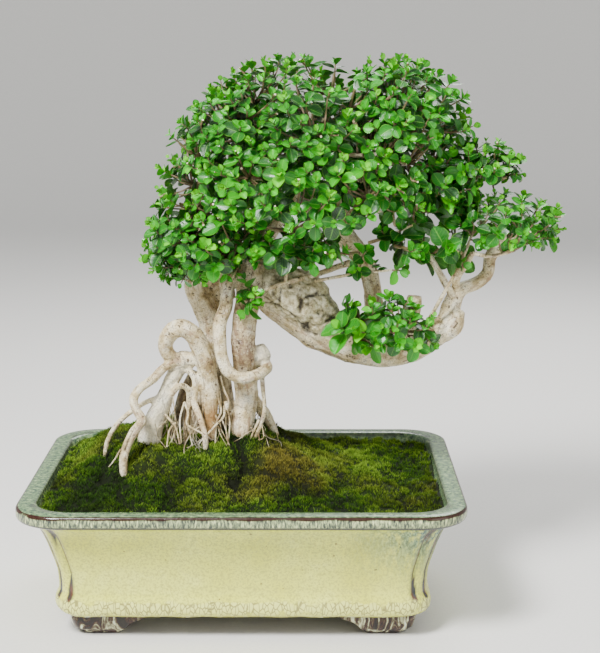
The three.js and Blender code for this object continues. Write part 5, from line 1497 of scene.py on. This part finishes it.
green = add_node(tree, "ShaderNodeMix", COLOUR_MIX, {0: margin, 6: green, 7: linear("#7ccc34")})
below = add_node(tree, "ShaderNodeMath", {"operation": "MULTIPLY"}, {0: more["Red"], 1: 0.5})
green = add_node(tree, "ShaderNodeMix", COLOUR_MIX, {0: below, 6: green, 7: linear("#569c3c")})
tree.links.new(green.outputs[2], shader.inputs["Base Color"])
cup = add_node(tree, "ShaderNodeMath", {"operation": "POWER"}, {0: mark["Green"], 1: 2.0})
sunk = add_node(tree, "ShaderNodeMath", {"operation": "ADD"}, {0: vein, 1: rib})
leaf_relief = {"operation": "MULTIPLY_ADD"}
leaf_relief = add_node(tree, "ShaderNodeMath", leaf_relief, {0: sunk, 1: -0.35, 2: cup})
bump = {"Strength": 0.8, "Distance": 0.0012, "Height": leaf_relief}
bump = add_node(tree, "ShaderNodeBump", {}, bump)
tree.links.new(bump.outputs[0], shader.inputs["Normal"])
shader.inputs["Subsurface Weight"].default_value = 0.12
shader.inputs["Subsurface Radius"].default_value = (0.5, 1.0, 0.2)
shader.inputs["Subsurface Scale"].default_value = 0.0015
print("leaf nodes:", len(tree.nodes))

# %% Twig bark and pruning cuts
green_bark, tree, shader = new_material("young_premna_twig", roughness=0.6)
grain = add_node(tree, "ShaderNodeAttribute", {"attribute_name": "grain"}).outputs["Vector"]
streaks = add_node(tree, "ShaderNodeTexNoise", {}, {"Vector": grain, "Scale": 1 / 6, "Detail": 3.0})
twig_colour = [(0.3, "#4d5c20"), (0.5, "#6e5c3e"), (0.7, "#97836a")]
twig_colour = add_node(tree, "ShaderNodeValToRGB", {}, {"Fac": streaks}, twig_colour)
tree.links.new(twig_colour.outputs[0], shader.inputs["Base Color"])

cut_wood, tree, shader = new_material("fresh_pruning_cut", roughness=0.7)
where = add_node(tree, "ShaderNodeTexCoord").outputs["Object"]
pith = add_node(tree, "ShaderNodeTexNoise", {}, {"Vector": where, "Scale": 1500.0, "Detail": 2.0})
cream = add_node(tree, "ShaderNodeValToRGB", {}, {"Fac": pith}, [(0.35, "#d9c8a0"), (0.6, "#f3ecd2")])
tree.links.new(cream.outputs[0], shader.inputs["Base Color"])
print("twig nodes:", len(green_bark.node_tree.nodes), "cut nodes:", len(tree.nodes))

# %% [markdown]
# Clipping leaves short stubs with cream cut ends all through the crown. They and the twigs go into the
# same piece as the leaves that they carry, one piece for each leafy spray.

# %% One piece for each leafy spray
STUBS_EACH, AGE_AND_SHADE, OWNER = 3, 13, 14
leaf_triangles = 0
for index, spray in enumerate(sprays):
    mine = leaf_rows[leaf_rows[:, OWNER] == index]
    stem = [(*spray["foot"], BRANCH_TIP), (*(spray["foot"] + spray["way"] * 5), 1.1), (*spray["heart"], 0.9)]
    coils = [tube(stem, 4, 7)] + [tube(route, 3, 5) for route in twigs[index]]
    stub_count = min(STUBS_EACH, len(twigs[index]))
    for route in twigs[index][:stub_count]:
        base = np.array(route[2][:3])
        way = unit(base - np.array(route[0][:3]) + rng.normal(0, 6, 3))
        coils.append(tube([(*base, 0.7), (*(base + way * 3), 0.75), (*(base + way * 6), 0.8)], 2, 7))
    points, quads, caps, lie = joined(coils)
    is_cut = np.zeros(len(caps), dtype=bool)
    is_cut[len(caps) - 14 * stub_count :] = np.tile(np.repeat([False, True], 7), stub_count)
    blades = leaf_points(mine[:, :3], mine[:, 3:6], mine[:, 6:9], *mine[:, 9:13].T)
    count, size = blades.shape[:2]
    faces = (leaf_faces[None] + np.arange(count)[:, None, None] * size).reshape(-1, 4) + len(points)
    ages_and_shade = np.repeat(mine[:, AGE_AND_SHADE], size)
    leaf_mark = np.column_stack([ages_and_shade, np.tile(leaf_across, count), np.tile(leaf_along, count)])
    tones = np.repeat(rng.uniform(0, 1, count), size)
    side_mark = np.column_stack([np.tile(leaf_under, count), tones, np.zeros(len(tones))])
    bare = np.zeros((len(points), 3))
    made = add_piece(
        f"leafy_spray_{index + 1:02d}",
        np.concatenate([points, blades.reshape(-1, 3)]),
        [quads, caps, faces],
        [leaf_skin, green_bark, cut_wood],
        material_index=np.concatenate([np.ones(len(quads)), np.where(is_cut, 2, 1), np.zeros(len(faces))]),
        marks={
            "leaf": np.concatenate([bare, leaf_mark]),
            "leaf_side": np.concatenate([bare, side_mark]),
            "grain": np.concatenate([lie, np.zeros((len(leaf_mark), 3))]),
        },
        sharp=math.radians(70),
    )
    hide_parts(f"spray_{index + 1:02d}")
    leaf_triangles += 2 * len(quads) + len(caps) + 2 * len(faces)
print("leaf and twig triangles:", leaf_triangles)

# %% [markdown]
# The stage is a plain pale floor that rises far away on every side, as studio paper does, so no edge
# shows from any angle. A large soft key light stands high at the front left, a weak fill at the right
# and a rim light behind, with a pale sky all round.

# %% Floor
FLAT_REACH, SWEEP_RADIUS = 2.2, 1.2
paper, tree, shader = new_material("pale_studio_paper", roughness=0.9)
where = add_node(tree, "ShaderNodeTexCoord").outputs["Object"]
fibre = add_node(tree, "ShaderNodeTexNoise", {}, {"Vector": where, "Scale": 400.0, "Detail": 2.0})
pale = add_node(tree, "ShaderNodeValToRGB", {}, {"Fac": fibre}, [(0.3, "#e6e4df"), (0.7, "#eceae5")])
tree.links.new(pale.outputs[0], shader.inputs["Base Color"])
SWEEP = [(0.0, 0.0), (1.4, 0.0), (FLAT_REACH, 0.0)]
for turn in np.linspace(0.15, 1.5, 10):
    out, up = SWEEP_RADIUS * math.sin(turn), SWEEP_RADIUS * math.cos(turn)
    SWEEP.append((FLAT_REACH + out, SWEEP_RADIUS - up))
floor_points, floor_faces, around = [(0.0, 0.0, 0.0)], [], 64
for reach, lift in SWEEP[1:]:
    for step in range(around):
        turn = 2 * math.pi * step / around
        floor_points.append((reach * math.cos(turn), reach * math.sin(turn), lift))
for step in range(around):
    after = (step + 1) % around
    floor_faces.append((0, 1 + step, 1 + after))
    for ring in range(len(SWEEP) - 2):
        low, high = 1 + ring * around, 1 + (ring + 1) * around
        floor_faces.append((low + step, high + step, high + after, low + after))
floor_mesh = bpy.data.meshes.new("floor")
floor_mesh.from_pydata(floor_points, [], floor_faces)
floor_mesh.polygons.foreach_set("use_smooth", [True] * len(floor_faces))
floor_mesh.materials.append(paper)
floor = bpy.data.objects.new("floor", floor_mesh)
bpy.context.scene.collection.objects.link(floor)
print("floor faces:", len(floor_faces))

# %% Light
LAMPS = {
    "key": {"at": (-0.65, -0.95, 1.35), "size": 0.45, "watts": 62.0, "aim": (0.0, 0.0, 0.2)},
    "fill": {"at": (1.0, -0.9, 0.7), "size": 0.9, "watts": 5.0, "aim": (0.0, 0.0, 0.2)},
    "rim": {"at": (0.3, 1.0, 1.1), "size": 0.7, "watts": 14.0, "aim": (0.0, 0.0, 0.25)},
}
world = bpy.data.worlds.new("studio")
bpy.context.scene.world = world
world.use_nodes = True
world.node_tree.nodes["Background"].inputs["Color"].default_value = linear("#eef1f4")
world.node_tree.nodes["Background"].inputs["Strength"].default_value = 0.6
for name, lamp in LAMPS.items():
    light = bpy.data.lights.new(name, "AREA")
    light.energy, light.size = lamp["watts"], lamp["size"]
    holder = bpy.data.objects.new(name, light)
    holder.location = lamp["at"]
    toward = Vector(lamp["aim"]) - Vector(lamp["at"])
    holder.rotation_euler = toward.to_track_quat("-Z", "Y").to_euler()
    bpy.context.scene.collection.objects.link(holder)
print("lights:", len(LAMPS))

# %% Sizes and finish
triangles = 0
for piece in bpy.context.scene.objects:
    if piece.type == "MESH" and piece is not floor and not piece.hide_render:
        triangles += sum(len(polygon.vertices) - 2 for polygon in piece.data.polygons)
print("triangles in all:", triangles)
